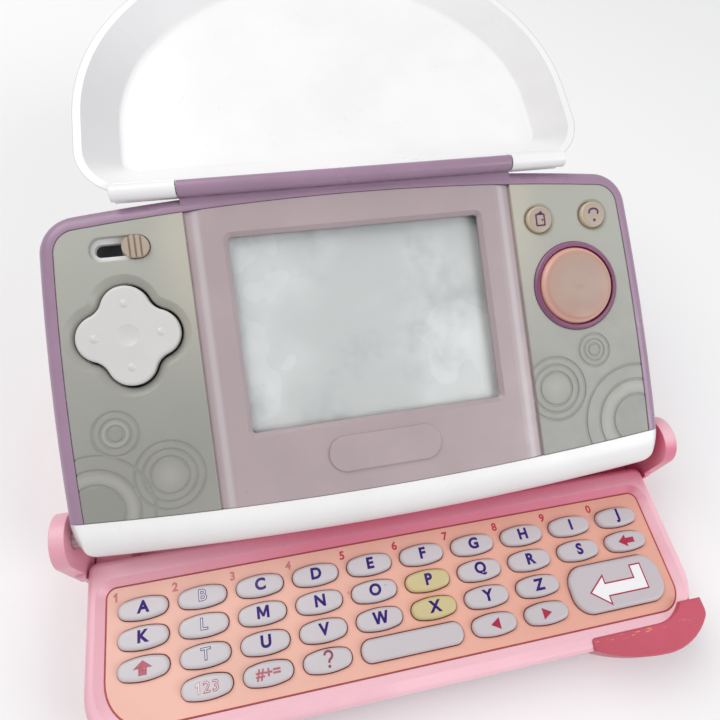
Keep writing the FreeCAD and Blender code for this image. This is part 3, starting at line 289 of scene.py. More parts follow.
def moulded(name, colour, rough, grain=0.012, mottle=0.05, dirt_and_shade=(0.5, 0.32, 0.30), dirt_and_shade_share=0.5,
            dirt_and_shade_mm=1.6, wear=0.35, edge_mm=0.25, tint=None, hollow_shade=None, hollow_shade_mm=12.0):
    """Moulded plastic: mottling, fine grain, soft worn edges, a corner colour that is partly dust and partly
    painted shade, painted shade in hollows.
    """
    shade = Shade(name)
    base = shade.mix(shade.patches(MOTTLE_PER_MM, span=(0.35, 0.65), detail=4.0),
                     scaled(colour, 1 - mottle), scaled(colour, 1 + mottle))
    if tint:
        base = tint(shade, base)
    # Painted shade in hollows: a darker copy of the colour
    if hollow_shade:
        base = shade.mix(shade.crevice(hollow_shade_mm), base, tinted(colour, hollow_shade))
    rounded, edges = shade.edge(edge_mm)
    worn = shade.patches(WEAR_PER_MM, span=(0.45, 0.75), most=wear, detail=5.0)
    base = shade.mix(shade.product(edges, worn), base, scaled(colour, WORN_PALER))
    # Colour for corners and gaps: partly dust, partly painted shade where shadow falls
    grime_and_shade = tinted(colour, dirt_and_shade)
    dust_and_shade = shade.product(shade.crevice(dirt_and_shade_mm), shade.patches(DUST_AND_SHADE_PER_MM, least=0.3, detail=5.0))
    base = shade.mix(shade.product(dust_and_shade, dirt_and_shade_share), base, grime_and_shade)
    specks = shade.patches(SPECKS_PER_MM, span=(0.755, 0.79), detail=2.0)
    base = shade.mix(shade.product(specks, SPECK_SHARE), base, grime_and_shade)
    gloss = shade.patches(GLOSS_PER_MM, least=rough - LESS_ROUGH, most=rough + MORE_ROUGH,
                          detail=6.0, rough=0.65)
    return shade.finish(base, gloss, shade.bump(shade.noise(GRAIN_PER_MM, detail=2.0), grain, rounded))


# Moulded rings on the side panels: centre from the middle, height from the screen's centre,
# radii of the grooves, and how dark the middle is
RINGS = (
    (53.9, -13.7, (1.5, 2.5, 3.9), 0.3),
    (42.9, -21.7, (4.0, 5.7, 7.5), 0.0),
    (63.0, -32.0, (6.2, 9.9, 13.5), 0.45),
    (-57.2, -17.6, (1.7, 3.1, 4.7), 0.3),
    (-47.3, -27.9, (4.0, 5.6, 7.3), 0.0),
    (-63.0, -33.5, (5.8, 9.0, 12.0), 0.45),
)
GROOVE_REACH = (1.1, 0.1)           # from a groove: where its shading begins, and where it is full
CORE_REACH = (0.2, -0.6)            # the same for a dark middle, outwards from the first groove
PANEL_PALE_RISE = (12.0, 66.0)      # on the face, from the tilt axis
CREAM_RISE = (24.0, 62.0)
CREAM_ACROSS = (48.0, 38.0)


def ringed(shade, base):
    """Grey panel: paler towards the top and the screen, with the moulded rings shaded along their grooves."""
    place = shade.axes(shade.face_mm)
    base = shade.mix(shade.ramp(place["Y"], PANEL_PALE_RISE, most=0.8), base, GREY_TOP)
    inside = shade.ramp(shade.math("ABSOLUTE", place["X"]), CREAM_ACROSS, most=0.6)
    base = shade.mix(shade.product(inside, shade.ramp(place["Y"], CREAM_RISE)), base, GREY_CREAM)
    dark = []
    pale = []
    for x, above, radii, darkness in RINGS:
        away = shade.face_distance(x, SCREEN_RISE + above)
        dark += [shade.ramp(shade.off(away, radius), GROOVE_REACH, most=0.16) for radius in radii]
        band_middle = 0.0
        band_half = radii[0]
        if darkness:
            dark.append(shade.ramp(away, [radii[0] + reach for reach in CORE_REACH], most=darkness))
            band_middle = (radii[0] + radii[1]) / 2
            band_half = (radii[1] - radii[0]) / 2
        pale.append(shade.ramp(shade.off(away, band_middle), (band_half, 0.0), most=0.4))
    base = shade.mix(shade.highest(*pale), base, RING_PALE)
    return shade.mix(shade.highest(*dark), base, RING_DARK)


# Painted shade on the pink case: the screen unit's shadow behind the keyboard, less at the left, and on faces
# turned to the user
BEHIND_KEYS = (-62.0, -56.0)        # along the tray
BEHIND_ACROSS = (-75.0, -10.0)      # across it, from faint at the left to full
LEFT_END = (-62.0, -72.0)
LOOKS_AWAY = (0.15, 0.6)            # share of a slope's direction that points away from the user
LOOKS_BACK = (-0.15, -0.6)
TRAY_SHADE_REACH = 14.0


def painted_tray_light_and_shade(shade, base):
    """Pink, deepened by painted shade behind the keyboard and at the left, paled by painted light on slopes that
    look away.
    """
    away = shade.axes(shade.facing)["Y"]
    place = shade.axes(shade.mm)
    behind = shade.product(shade.ramp(place["Y"], BEHIND_KEYS),
                           shade.ramp(place["X"], BEHIND_ACROSS, least=0.25))
    hidden = shade.highest(shade.ramp(away, LOOKS_BACK, most=0.75), shade.crevice(TRAY_SHADE_REACH))
    base = shade.mix(shade.ramp(away, LOOKS_AWAY), base, PINK_SLOPE_LIT)
    base = shade.mix(shade.ramp(place["X"], LEFT_END, most=0.5), base, PINK_LEFT_SHADE)
    return shade.mix(shade.product(behind, hidden), base, PINK_BEHIND_SHADOW)


KEYBOARD_ACROSS = (-70.0, 62.0)     # from the left to where the colour is full


def painted_shade_right(colour):
    """Painted shade: a tint that turns a keyboard piece towards a darker colour at the user's right."""
    def tint(shade, base):
        across = shade.axes(shade.mm)["X"]
        return shade.mix(shade.ramp(across, KEYBOARD_ACROSS, most=0.85), base, colour)
    return tint


WALL_ACROSS = (0.3, 0.8)            # share of a wall's direction that points across the toy


def painted_wall_shade(shade, base):
    """Painted shade: white that greys on upright walls across the toy."""
    across = shade.math("ABSOLUTE", shade.axes(shade.facing)["X"])
    return shade.mix(shade.ramp(across, WALL_ACROSS, most=0.9), base, WHITE_WALL_SHADE)


def from_ok(shade):
    """Distance on the face from the middle of the OK button."""
    return shade.face_distance(OK_MIDDLE.x, OK_MIDDLE.y)


def above_ok(shade, span):
    """0 to 1 between two heights on the face, measured from the middle of the OK button."""
    return shade.ramp(shade.axes(shade.face_mm)["Y"], [OK_MIDDLE.y + rise for rise in span])


RING_TOP = (2.0, 9.0)               # heights over the OK button's middle
RING_REACH = (OK_R + 2.4, OK_R + 0.1)


def ring_painted_shade(shade, base):
    """Purple trim with painted shade: deep magenta round the OK button, lighter at the top."""
    magenta = shade.mix(above_ok(shade, RING_TOP), MAGENTA, MAGENTA_TOP)
    return shade.mix(shade.ramp(from_ok(shade), RING_REACH), base, magenta)


FACE_TO_SIDE = (0.98, 0.72)         # cosines between the unit's face and a button's


def side_share(shade):
    """0 on faces that look out of the screen unit, 1 on the sides of its buttons."""
    return shade.ramp(shade.along(shade.facing, FACE_OUT), FACE_TO_SIDE)


KNOB_SHADE_SPAN = (0.0, -9.0)              # heights over the OK button's middle
KNOB_RIM = (4.0, OK_R)


def knob_shade_and_sides(shade, base):
    """Salmon knob: greyer on top, darker with painted shade towards the user, warmer round its rim, brighter on
    its sides.
    """
    base = shade.mix(above_ok(shade, KNOB_SHADE_SPAN), base, SALMON_LOW_SHADE)
    warm = shade.mix(shade.ramp(from_ok(shade), KNOB_RIM, most=0.6), base, SALMON_RIM)
    return shade.mix(side_share(shade), warm, SALMON_SIDE)


def button_sides(shade, base):
    return shade.mix(side_share(shade), base, BEIGE_SIDE)


STRIP_MIDDLE = BEZEL_HALF - 2.3
STRIP_REACH = (1.2, 0.2)


def painted_strip_highlight(shade, base):
    """Painted highlight: a paler band down each sloped side strip of the bezel."""
    across = shade.math("ABSOLUTE", shade.axes(shade.face_mm)["X"])
    return shade.mix(shade.ramp(shade.off(across, STRIP_MIDDLE), STRIP_REACH, most=0.6), base, MAUVE_HIGHLIGHT)


STREAK_Y = -72.3                     # along the grips' upper edge
STREAK_REACH = (0.7, 0.2)


def yellow_streaked(shade, base):
    """Short pale yellow streaks along the upper edge of a grip."""
    streaks = shade.patches(per_mm=0.9, span=(0.60, 0.66), detail=2.0, rough=0.5, stretch=(0.5, 3.0, 1.0))
    near = shade.ramp(shade.off(shade.axes(shade.mm)["Y"], STREAK_Y), STREAK_REACH, most=0.8)
    return shade.mix(shade.product(streaks, near), base, YELLOW_STREAK)


def glass():
    shade = Shade("screen glass", Transmission_Weight=1.0, IOR=1.46, Specular_IOR_Level=0.5)
    smears = shade.patches(per_mm=0.05, span=(0.4, 0.75), least=0.02, most=0.12, detail=5.0, rough=0.6)
    scratches = shade.noise(per_mm=0.7, detail=4.0, rough=0.6, stretch=(0.15, 1.0, 1.0))
    return shade.finish(GLASS, smears, shade.bump(scratches, depth=0.004))


def display():
    """Switched-off display: grey with a fine cell pattern, painted reflection as pale clouds and dark blotches,
    and a dim mottled gloss.
    """
    shade = Shade("switched-off display", Specular_IOR_Level=0.6)
    cells = shade.node("TexWave", {"Vector": shade.face_mm, "Scale": 2.4, "Distortion": 0.0},
                       bands_direction="X").outputs["Fac"]
    cloud = shade.patches(per_mm=0.03, span=(0.35, 0.7))
    base = shade.mix(cloud, DISPLAY_DIM, DISPLAY_BRIGHT)
    reflected_blotches = shade.patches(per_mm=0.055, span=(0.5, 0.72), most=0.6, detail=4.0, rough=0.6)
    base = shade.mix(reflected_blotches, base, DISPLAY_REFLECTED_BLOTCH)
    base = shade.mix(shade.product(cells, 0.06), base, DISPLAY_CELL)
    return shade.finish(base, shade.ramp(cloud, (0.0, 1.0), least=0.2, most=0.35))


def ink(name, colour, paper, worn):
    """Printed ink that is rubbed through in patches down to what it is printed on."""
    shade = Shade(name, Specular_IOR_Level=0.25)
    rubbed = shade.patches(per_mm=1.6, span=(0.72 - 0.5 * worn, 0.80 - 0.35 * worn), detail=5.0, rough=0.7)
    thin = shade.patches(per_mm=0.5, span=(0.3, 0.8), most=0.04 + 0.3 * worn)
    base = shade.mix(shade.highest(rubbed, thin), colour, paper)
    gloss = shade.patches(per_mm=2.0, least=0.42, most=0.55)
    return shade.finish(base, gloss, shade.bump(shade.noise(per_mm=3.0), depth=0.006))


def metal(name, colour, rough):
    shade = Shade(name, Metallic=1.0)
    brushed = shade.noise(per_mm=1.2, detail=5.0, rough=0.6, stretch=(0.1, 1.0, 1.0))
    base = shade.mix(brushed, scaled(colour, 0.8), scaled(colour, 1.1))
    gloss = shade.ramp(brushed, NOISE_SPAN, least=rough - 0.1, most=rough + 0.1)
    return shade.finish(base, gloss, shade.bump(brushed, depth=0.01))


def circuit_board():
    """Solder mask with faint copper tracks and pads."""
    shade = Shade("circuit board", Specular_IOR_Level=0.6)
    tracks = shade.node("TexBrick", {"Vector": shade.mm, "Scale": 0.12, "Mortar Size": 0.03, "Color1": BOARD,
                                     "Color2": BOARD_PALE, "Mortar": TRACK}).outputs["Color"]
    gloss = shade.patches(per_mm=0.5, least=0.3, most=0.45)
    return shade.finish(tracks, gloss, shade.bump(shade.noise(per_mm=1.0), depth=0.01))


def floor_paper():
    shade = Shade("pale floor")
    base = shade.mix(shade.noise(per_mm=0.004), PAPER_DIM, PAPER_BRIGHT)
    return shade.finish(base, roughness=0.75)


# The crevice colours below are partly dust and partly painted shade in gaps and corners
MATERIALS = {
    "case_pink": moulded("moulded pink", PINK, rough=0.34, dirt_and_shade=(0.62, 0.30, 0.40), dirt_and_shade_share=0.6,
                         dirt_and_shade_mm=0.7, tint=painted_tray_light_and_shade),
    # The white case darkens in hollows and greys on its walls: painted shade
    "case_white": moulded("moulded white", WHITE, rough=0.33, mottle=0.02, dirt_and_shade=(0.72, 0.68, 0.70),
                          dirt_and_shade_share=0.35, hollow_shade=(0.87, 0.86, 0.87), hollow_shade_mm=26.0, tint=painted_wall_shade),
    # On the purple trim the dark crevice colour paints the shadow line in its gap with the grey panel
    "trim_purple": moulded("moulded purple", PURPLE, rough=0.32, dirt_and_shade=(0.28, 0.26, 0.28), dirt_and_shade_share=0.75,
                           dirt_and_shade_mm=0.6, tint=ring_painted_shade),
    "panel_grey": moulded("ringed grey panel", GREY, rough=0.36, mottle=0.03, dirt_and_shade=(0.72, 0.70, 0.68),
                          dirt_and_shade_share=0.15, dirt_and_shade_mm=0.6, edge_mm=0.45, tint=ringed),
    "bezel_pink": moulded("dusty mauve", MAUVE, rough=0.36, mottle=0.04, dirt_and_shade=(0.75, 0.66, 0.66),
                          dirt_and_shade_share=0.15, dirt_and_shade_mm=0.6, tint=painted_strip_highlight),
    "lens_clear": glass(),
    "lcd_grey": display(),
    "panel_peach": moulded("peach panel", PEACH, rough=0.42, grain=0.02, mottle=0.035, dirt_and_shade=RUST_DUST_AND_SHADE,
                           dirt_and_shade_share=0.8, dirt_and_shade_mm=0.6, tint=painted_shade_right(PEACH_RIGHT_SHADE)),
    "key_white": moulded("key white", KEY, rough=0.4, mottle=0.02, dirt_and_shade=RUST_DUST_AND_SHADE, dirt_and_shade_share=0.9,
                         dirt_and_shade_mm=0.6, wear=0.2, tint=painted_shade_right(KEY_RIGHT_SHADE)),
    "key_yellow": moulded("key yellow", srgb(207, 192, 143), rough=0.4, mottle=0.03, dirt_and_shade=RUST_DUST_AND_SHADE,
                          dirt_and_shade_share=0.9, dirt_and_shade_mm=0.6, wear=0.2),
    "mat_rubber": moulded("brown rubber", srgb(140, 84, 78), rough=0.7, grain=0.03),
    "grip_coral": moulded("coral grip", CORAL, rough=0.42, grain=0.02, wear=0.5, tint=yellow_streaked),
    "pad_grey": moulded("pale grey pad", srgb(218, 216, 214), rough=0.36, mottle=0.02,
                        dirt_and_shade=(0.6, 0.56, 0.56)),
    "knob_salmon": moulded("salmon knob", SALMON, rough=0.38, mottle=0.03, dirt_and_shade=(0.6, 0.4, 0.36),
                           dirt_and_shade_mm=0.7, tint=knob_shade_and_sides),
    "button_beige": moulded("beige button", BEIGE, rough=0.38, mottle=0.03, dirt_and_shade=(0.7, 0.6, 0.52),
                            dirt_and_shade_share=0.3, dirt_and_shade_mm=0.7, tint=button_sides),
    "board_green": circuit_board(),
    "speaker_black": moulded("speaker black", srgb(40, 40, 42), rough=0.6, grain=0.03),
    "cell_metal": metal("cell can", srgb(205, 205, 200), rough=0.32),
    "pin_steel": metal("turned steel", srgb(200, 200, 200), rough=0.28),
}
# Colours of the gap sheets: painted shade in place of the gaps' shadow, rust also standing for dust, cream
# painting light over the bezel gap's shadow line
GAP_SHEETS = {
    "rust": moulded("settled dust", srgb(178, 92, 76), rough=0.8, grain=0.03, mottle=0.15),
    "magenta": moulded("magenta gap shade", srgb(172, 56, 112), rough=0.7, mottle=0.1),
    "beige": moulded("beige gap shade", srgb(186, 166, 138), rough=0.7, mottle=0.1),
    "cream": moulded("cream bead", srgb(222, 200, 196), rough=0.6, mottle=0.1),
}
INKS = {
    "violet": ink("violet ink", VIOLET, KEY, worn=0.0),
    "violet_thin": ink("thin violet ink", VIOLET, KEY, worn=0.14),
    "violet_worn": ink("worn violet ink", srgb(104, 96, 140), KEY, worn=0.25),
    "red": ink("red ink", RED, KEY, worn=0.05),
    "red_soft": ink("soft red ink", srgb(152, 76, 94), KEY, worn=0.1),
    "red_worn": ink("worn red ink", srgb(186, 96, 112), KEY, worn=0.25),
    "rubbed": ink("rubbed patch", srgb(232, 230, 234), KEY, worn=0.2),
    "digit": ink("red digit ink", srgb(200, 56, 80), PEACH, worn=0.05),
    "digit_worn": ink("worn digit ink", srgb(206, 120, 128), PEACH, worn=0.3),
    "line": ink("red line ink", srgb(184, 70, 72), PEACH, worn=0.05),
    "sign_white": ink("white sign ink", srgb(245, 244, 246), KEY, worn=0.0),
    "icon": ink("purple icon ink", srgb(92, 50, 98), BEIGE, worn=0.1),
}

for name, slot in SLOTS.items():
    NODES[name].data.materials.clear()
    NODES[name].data.materials.append(MATERIALS[slot])
NODES["screen_window"].visible_shadow = False

# Printed ink
INK_T = 0.03
INK_LIFT = 0.012            # rise of a layer's middle over the face, for each layer
CAP_HEIGHT = 0.729          # of the built-in lettering at size 1
LETTER_CURVE_STEPS = 5
CIRCLE_SIDES = 20


def outline_mesh(curve, name):
    """Mesh of a filled flat curve, then the curve is dropped."""
    holder = bpy.data.objects.new(name, curve)
    bpy.context.scene.collection.objects.link(holder)
    bpy.context.view_layer.update()
    mesh = bpy.data.meshes.new_from_object(holder.evaluated_get(bpy.context.evaluated_depsgraph_get()))
    bpy.data.objects.remove(holder)
    bpy.data.curves.remove(curve)
    mesh.name = name
    return mesh


def text_mesh(name, text, height, bold):
    """Centred upright lettering; bold is how far strokes are thickened on each side."""
    curve = bpy.data.curves.new(name, "FONT")
    curve.body = text
    curve.size = height / CAP_HEIGHT
    curve.offset = bold
    curve.extrude = INK_T / 2
    curve.resolution_u = LETTER_CURVE_STEPS
    mesh = outline_mesh(curve, name)
    xs = [vertex.co.x for vertex in mesh.vertices]
    ys = [vertex.co.y for vertex in mesh.vertices]
    mesh.transform(Matrix.Translation((-(min(xs) + max(xs)) / 2, -(min(ys) + max(ys)) / 2, 0)))
    return mesh


def sign_mesh(name, outlines, grow=0.0):
    """Filled flat sign from closed outlines, grown outwards by a distance."""
    curve = bpy.data.curves.new(name, "CURVE")
    curve.dimensions = "2D"
    curve.fill_mode = "BOTH"
    curve.offset = grow
    curve.extrude = INK_T / 2
    for points in outlines:
        spline = curve.splines.new("POLY")
        spline.points.add(len(points) - 1)
        for point, (x, y) in zip(spline.points, points):
            point.co = (x, y, 0, 1)
        spline.use_cyclic_u = True
    return outline_mesh(curve, name)


def arc_points(cx, cy, radius, start_deg, end_deg, count=10):
    points = []
    for index in range(count + 1):
        turn = math.radians(start_deg + (end_deg - start_deg) * index / count)
        points.append((cx + radius * math.cos(turn), cy + radius * math.sin(turn)))
    return points


def circle_points(cx, cy, radius, sides=CIRCLE_SIDES):
    return arc_points(cx, cy, radius, 0, 360 - 360 / sides, sides - 1)


def rounded_points(x0, x1, y0, y1, front_left, front_right, rear):
    """Rectangle with rounded corners; its two rear corners are alike."""
    return (arc_points(x0 + front_left, y0 + front_left, front_left, 180, 270)
            + arc_points(x1 - front_right, y0 + front_right, front_right, 270, 360)
            + arc_points(x1 - rear, y1 - rear, rear, 0, 90)
            + arc_points(x0 + rear, y1 - rear, rear, 90, 180))


def stroke_outline(points, width):
    """Closed outline of a line of some width along points."""
    left = []
    right = []
    for index, (x, y) in enumerate(points):
        before = points[max(index - 1, 0)]
        after = points[min(index + 1, len(points) - 1)]
        dx = after[0] - before[0]
        dy = after[1] - before[1]
        length = math.hypot(dx, dy)
        left.append((x - dy / length * width / 2, y + dx / length * width / 2))
        right.append((x + dy / length * width / 2, y - dx / length * width / 2))
    return left + right[::-1]


def put(mesh, material, body, matrix):
    """Add a piece: mesh in millimetres, placed by a matrix in metres, moving with a body."""
    mesh.transform(matrix @ Matrix.Scale(MM, 4))
    mesh.materials.clear()
    mesh.materials.append(material)
    piece = bpy.data.objects.new(mesh.name, mesh)
    bpy.context.scene.collection.objects.link(piece)
    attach(piece, body)


def on_face(x, y, z):
    return UNIT @ Matrix.Translation(Vector((x, y, z)) * MM)


def print_on_key(mesh, colour, key, dx=0.0, dy=0.0, layer=1):
    """Ink on a key's top, at a distance from its middle; a second layer lies over the first."""
    low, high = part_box(key)
    middle = (low + high) / 2
    place = (middle.x + dx * MM, middle.y + dy * MM, high.z + layer * INK_LIFT * MM)
    put(mesh, INKS[colour], key, Matrix.Translation(place))


def print_on_button(mesh, button):
    middle = face_middle(button)
    put(mesh, INKS["icon"], button, on_face(middle.x, middle.y, face_box(button)[1].z))


# Key letters; a worn one keeps its edges and is rubbed away inside
LETTER_HEIGHT = 2.5
LETTER_BOLD = 0.14          # how far each side of a stroke is thickened
LETTER_RUB = -0.05
LETTER_SHIFT = (0.2, 0.25)  # letters stand a little off the middle of their keys
WORN_LETTERS = "blt"
THIN_LETTERS = "ck"
DRAWN_BOLD = 0.05
DRAWN_LETTERS = {
    "m": [(-1.3, -1.25), (-1.3, 1.25), (-0.74, 1.25), (0.0, -0.3), (0.74, 1.25), (1.3, 1.25), (1.3, -1.25),
          (0.82, -1.25), (0.82, 0.4), (0.2, -0.9), (-0.2, -0.9), (-0.82, 0.4), (-0.82, -1.25)],
    "w": [(-1.75, 1.25), (-1.22, 1.25), (-0.78, -0.5), (-0.26, 1.25), (0.26, 1.25), (0.78, -0.5),
          (1.22, 1.25), (1.75, 1.25), (1.06, -1.25), (0.54, -1.25), (0.0, 0.45), (-0.54, -1.25),
          (-1.06, -1.25)],
}


def print_letters():
    for letter in "abcdefghijklmnopqrstuvwxyz":
        key = "key_" + letter
        if letter in DRAWN_LETTERS:
            shape = sign_mesh("legend_" + letter, [DRAWN_LETTERS[letter]], DRAWN_BOLD)
        else:
            shape = text_mesh("legend_" + letter, letter.upper(), LETTER_HEIGHT, LETTER_BOLD)
        if letter in WORN_LETTERS:
            print_on_key(shape, "violet_worn", key, *LETTER_SHIFT)
            rubbed = text_mesh("legend_rubbed_" + letter, letter.upper(), LETTER_HEIGHT, LETTER_RUB)
            print_on_key(rubbed, "rubbed", key, *LETTER_SHIFT, layer=2)
        else:
            print_on_key(shape, "violet_thin" if letter in THIN_LETTERS else "violet", key, *LETTER_SHIFT)


# A one with a flag, which the built-in lettering lacks, at a height of 1
ONE_SHAPE = [(-0.27, 0.24), (-0.02, 0.5), (0.14, 0.5), (0.14, -0.5), (-0.03, -0.5), (-0.03, 0.22),
             (-0.2, 0.07)]


def digit_mesh(name, digit, height, bold):
    if digit == "1":
        return sign_mesh(name, [[(x * height, y * height) for x, y in ONE_SHAPE]], bold / 2)
    return text_mesh(name, digit, height, bold)


# Signs on the other keys
TRIANGLE = [(1.15, 1.25), (-1.05, 0.0), (1.15, -1.25)]
BACK_ARROW = [(-2.2, 0.0), (-0.1, 1.45), (-0.1, 0.62), (2.0, 0.62), (2.0, -0.62), (-0.1, -0.62),
              (-0.1, -1.45)]
UP_ARROW = [(0.0, 1.55), (2.0, 0.0), (0.85, 0.0), (0.85, -1.35), (-0.85, -1.35), (-0.85, 0.0), (-2.0, 0.0)]
RETURN_ARROW = [(-7.2, -0.9), (-3.4, 2.0), (-3.4, 0.35), (4.6, 0.35), (4.6, 3.2), (7.0, 3.2), (7.0, -2.1),
                (-3.4, -2.1), (-3.4, -3.8)]
RETURN_EDGE = 0.32          # red edge round the white arrow
SIGN_HEIGHT = 2.2
SYMBOL_BOLD = 0.08
NUMBER_BOLD = 0.09
NUMBER_RUB = -0.06
NUMBER_PLACES = {"1": -1.75, "2": 0.0, "3": 1.85}   # across the key from its middle
QUESTION_HOOK = arc_points(0.0, 0.72, 0.85, 170, -40, 20) + [(0.12, -0.25), (0.0, -0.75)]
QUESTION_STROKE = 0.5
QUESTION_DOT = (0.0, -1.42, 0.32)   # place and radius


def flipped(points):
    return [(-x, y) for x, y in reversed(points)]


def print_signs():
    print_on_key(sign_mesh("sign_left", [TRIANGLE]), "red", "key_left")
    print_on_key(sign_mesh("sign_right", [flipped(TRIANGLE)]), "red", "key_right")
    print_on_key(sign_mesh("sign_backspace", [BACK_ARROW]), "red", "key_backspace")
    print_on_key(sign_mesh("sign_shift", [UP_ARROW]), "red_worn", "key_shift")
    for digit, dx in NUMBER_PLACES.items():
        shape = digit_mesh("sign_number_" + digit, digit, SIGN_HEIGHT, NUMBER_BOLD)
        print_on_key(shape, "red_worn", "key_numbers", dx)
        rubbed = digit_mesh("sign_number_rubbed_" + digit, digit, SIGN_HEIGHT, NUMBER_RUB)
        print_on_key(rubbed, "rubbed", "key_numbers", dx, layer=2)
    print_on_key(text_mesh("sign_symbols", "#+=", SIGN_HEIGHT, SYMBOL_BOLD), "red_worn", "key_symbols")
    hook = sign_mesh("sign_question", [stroke_outline(QUESTION_HOOK, QUESTION_STROKE)])
    print_on_key(hook, "red_soft", "key_question", *LETTER_SHIFT)
    dot = sign_mesh("sign_question_dot", [circle_points(*QUESTION_DOT)])
    print_on_key(dot, "red_soft", "key_question", *LETTER_SHIFT)
    print_on_key(sign_mesh("sign_enter_edge", [RETURN_ARROW], RETURN_EDGE), "red", "key_enter")
    print_on_key(sign_mesh("sign_enter", [RETURN_ARROW]), "sign_white", "key_enter", layer=2)


# Digits on the panel beside the rear row, and the red line round the panel
PANEL_LOW, PANEL_HIGH = (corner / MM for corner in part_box("key_panel"))
DIGIT_HEIGHT = 1.9
DIGIT_BOLD = 0.08
DIGIT_SHIFT = (-6.0, 3.3)   # from the middle of the digit's key
WORN_DIGITS = "1234"
PANEL_CORNERS = (10.0, 5.5, 2.2)    # radii at the front left, at the front right and at the rear
LINE_INSET = 0.02
LINE_WIDTH = 0.22


def on_panel(x, y, z):
    """Place over the key panel's face."""
    return Matrix.Translation((x * MM, y * MM, (PANEL_HIGH.z + z) * MM))


def print_digits():
    for letter, digit in zip("abcdefghij", "1234567890"):
        low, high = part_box("key_" + letter)
        middle = (low + high) / 2 / MM
        colour = "digit_worn" if digit in WORN_DIGITS else "digit"
        shape = digit_mesh("digit_" + digit, digit, DIGIT_HEIGHT, DIGIT_BOLD)
        put(shape, INKS[colour], "drawer",
            on_panel(middle.x + DIGIT_SHIFT[0], middle.y + DIGIT_SHIFT[1], INK_LIFT))


def print_panel_line():
    rims = []
    for inset in (LINE_INSET, LINE_INSET + LINE_WIDTH):
        corners = (radius - inset for radius in PANEL_CORNERS)
        rims.append(rounded_points(PANEL_LOW.x + inset, PANEL_HIGH.x - inset, PANEL_LOW.y + inset,
                                   PANEL_HIGH.y - inset, *corners))
    put(sign_mesh("panel_line", rims), INKS["line"], "drawer", on_panel(0, 0, INK_LIFT))


# Icons on the two small buttons
DOOR = rounded_points(-1.2, 1.2, -1.75, 1.25, 0.35, 0.35, 0.35)
DOOR_INNER = rounded_points(-0.84, 0.84, -1.39, 0.89, 0.12, 0.12, 0.12)
DOOR_FLAP = [(-1.0, 1.05), (0.45, 1.9), (0.7, 1.1)]
DOOR_KNOB = (0.5, -0.3, 0.25)       # place and radius
HELP_HOOK = [(1.15 * x, 0.45 + 0.82 * y) for x, y in arc_points(0.0, 0.0, 1.0, 200, -40, 24)]
HELP_STROKE = 0.44
HELP_DOT = (0.0, -1.5, 0.34)


def print_icons():
    print_on_button(sign_mesh("icon_exit_door", [DOOR, DOOR_INNER]), "exit_button")
    print_on_button(sign_mesh("icon_exit_flap", [DOOR_FLAP]), "exit_button")
    print_on_button(sign_mesh("icon_exit_knob", [circle_points(*DOOR_KNOB)]), "exit_button")
    print_on_button(sign_mesh("icon_help_hook", [stroke_outline(HELP_HOOK, HELP_STROKE)]), "help_button")
    print_on_button(sign_mesh("icon_help_dot", [circle_points(*HELP_DOT)]), "help_button")


# Sheets in the narrow gaps, coloured in place of their shadow: rust brown round the keys (painted shade, partly
# dust), magenta and beige round the buttons (painted shade), a pale strip along the bezel that paints out its
# shadow line (painted light)
KEY_EDGE_R = 0.8            # rounding of a key's top edge
CLEAR = 0.03                # what a moving piece keeps clear
GAP = 0.19                  # how far the gap sheets reach out from a moving piece
SAME_PLACE = 0.02           # mesh corners nearer than this to a place are at it
KEY_GAP_DEPTH = 0.25           # depths below the face that a gap is in
OK_GAP_SHADE_DEPTH = 0.15
BUTTON_GAP_SHADE_DEPTH = 0.6
GAP_FILL_DEPTH = 0.72
GAP_FILL_WIDTH = 0.1
GAP_FILL_R = 0.02
GAP_SHADE_SIDES = 60


def grown(points, distance):
    """Closed convex outline, counter-clockwise, moved outwards."""
    moved = []
    for index, here in enumerate(points):
        before = (here - points[index - 1]).normalized()
        after = (points[(index + 1) % len(points)] - here).normalized()
        along = (before + after).normalized()
        moved.append((here.x + along.y * distance, here.y - along.x * distance))
    return moved


def key_side(node):
    """Outline of a key's upright side."""
    corners = [vertex.co / MM for vertex in NODES[node].data.vertices]
    shoulder = max(corner.z for corner in corners) - KEY_EDGE_R
    flat = [corner.to_2d() for corner in corners if abs(corner.z - shoulder) < SAME_PLACE]
    return [flat[index] for index in convex_hull_2d(flat)]


def add_key_gap_dust_and_shade():
    gaps = []
    for node in NODES:
        if SLOTS[node] in ("key_white", "key_yellow"):
            side = key_side(node)
            gaps += [grown(side, GAP), grown(side, CLEAR)]
    put(sign_mesh("key_gap_dust_and_shade", gaps), GAP_SHEETS["rust"], "drawer",
        on_panel(0, 0, -KEY_GAP_DEPTH))


def add_gap_shade(name, button, radius, depth, colour):
    middle = face_middle(button)
    ring = [circle_points(0.0, 0.0, reach, GAP_SHADE_SIDES) for reach in (radius + GAP, radius + CLEAR)]
    put(sign_mesh(name, ring), GAP_SHEETS[colour], "screen",
        on_face(middle.x, middle.y, PANEL_FACE - depth))


def add_bezel_gap_fill():
    edge = [corner.y for corner in face_corners("screen_bezel") if corner.x > BEZEL_HALF - SAME_PLACE]
    for name, side in (("bezel_gap_fill_left", -1), ("bezel_gap_fill_right", 1)):
        x0, x1 = sorted((side * BEZEL_HALF, side * (BEZEL_HALF + GAP_FILL_WIDTH)))
        gap_fill = rounded_points(x0, x1, min(edge), max(edge), GAP_FILL_R, GAP_FILL_R, GAP_FILL_R)
        put(sign_mesh(name, [gap_fill]), GAP_SHEETS["cream"], "screen",
            on_face(0.0, 0.0, PANEL_FACE - GAP_FILL_DEPTH))


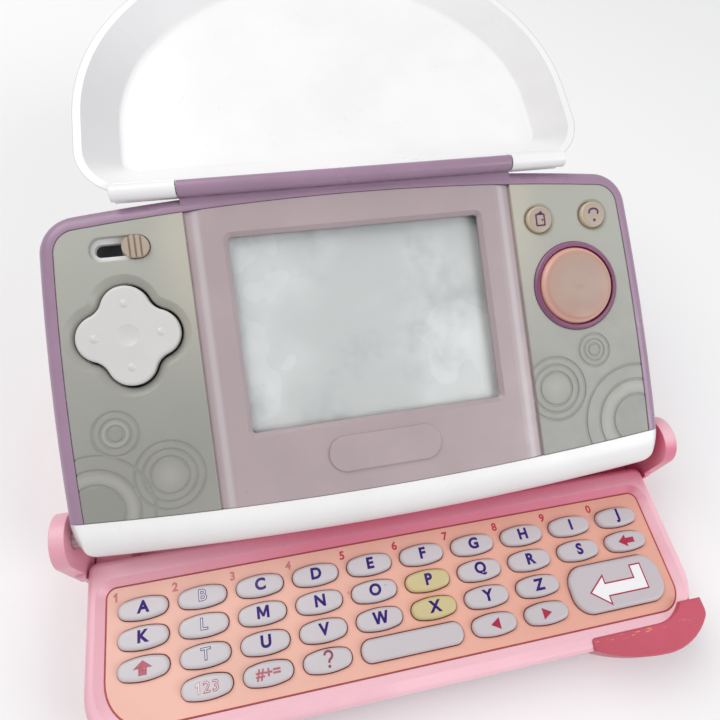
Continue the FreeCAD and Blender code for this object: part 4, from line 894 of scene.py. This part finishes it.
print_letters()
print_signs()
print_digits()
print_panel_line()
print_icons()
add_key_gap_dust_and_shade()
add_gap_shade("ok_gap_shade", "ok_button", OK_R, OK_GAP_SHADE_DEPTH, "magenta")
add_gap_shade("exit_gap_shade", "exit_button", BUTTON_R, BUTTON_GAP_SHADE_DEPTH, "beige")
add_gap_shade("help_gap_shade", "help_button", BUTTON_R, BUTTON_GAP_SHADE_DEPTH, "beige")
add_bezel_gap_fill()

# Floor, light and camera, in metres
FLOOR_HALF = 3.0
LIGHT_TARGET = Vector((0.0, 0.0, 0.03))
LIGHT_SIZE = 0.60
SKY_COLOUR = (0.95, 0.96, 0.98, 1.0)
SKY_STRENGTH = 0.47
SENSOR_MM = 36.0
LENS_MM = 28.0736
CAMERA_PLACE = (-0.023657, -0.06855, 0.153367)
CAMERA_TURN = (0.527235, -0.074853, -0.193437)
CAMERA_NEAR = 0.005


def add_floor():
    mesh = bpy.data.meshes.new("floor")
    grid = bmesh.new()
    bmesh.ops.create_grid(grid, x_segments=1, y_segments=1, size=FLOOR_HALF)
    grid.to_mesh(mesh)
    grid.free()
    mesh.materials.append(floor_paper())
    floor = bpy.data.objects.new("floor", mesh)
    bpy.context.scene.collection.objects.link(floor)


def add_light(name, place, watts, colour):
    data = bpy.data.lights.new(name, "AREA")
    data.shape = "DISK"
    data.size = LIGHT_SIZE
    data.energy = watts
    data.color = colour
    light = bpy.data.objects.new(name, data)
    light.location = place
    light.rotation_euler = (LIGHT_TARGET - Vector(place)).to_track_quat("-Z", "Y").to_euler()
    bpy.context.scene.collection.objects.link(light)


def add_sky():
    world = bpy.data.worlds.new("studio")
    world.use_nodes = True
    sky = world.node_tree.nodes["Background"].inputs
    sky["Color"].default_value = SKY_COLOUR
    sky["Strength"].default_value = SKY_STRENGTH
    bpy.context.scene.world = world


def add_camera():
    data = bpy.data.cameras.new("camera")
    data.sensor_width = SENSOR_MM
    data.lens = LENS_MM
    data.clip_start = CAMERA_NEAR
    camera = bpy.data.objects.new("camera", data)
    camera.location = CAMERA_PLACE
    camera.rotation_euler = Euler(CAMERA_TURN, "XYZ")
    bpy.context.scene.collection.objects.link(camera)
    bpy.context.scene.camera = camera


add_floor()
add_light("key_light", (-0.34, 0.27, 0.65), watts=2.9, colour=(1.0, 0.985, 0.97))
add_light("fill_light", (0.62, -0.48, 0.55), watts=3.3, colour=(0.97, 0.98, 1.0))
add_sky()
add_camera()
bpy.context.scene.view_settings.view_transform = "Standard"
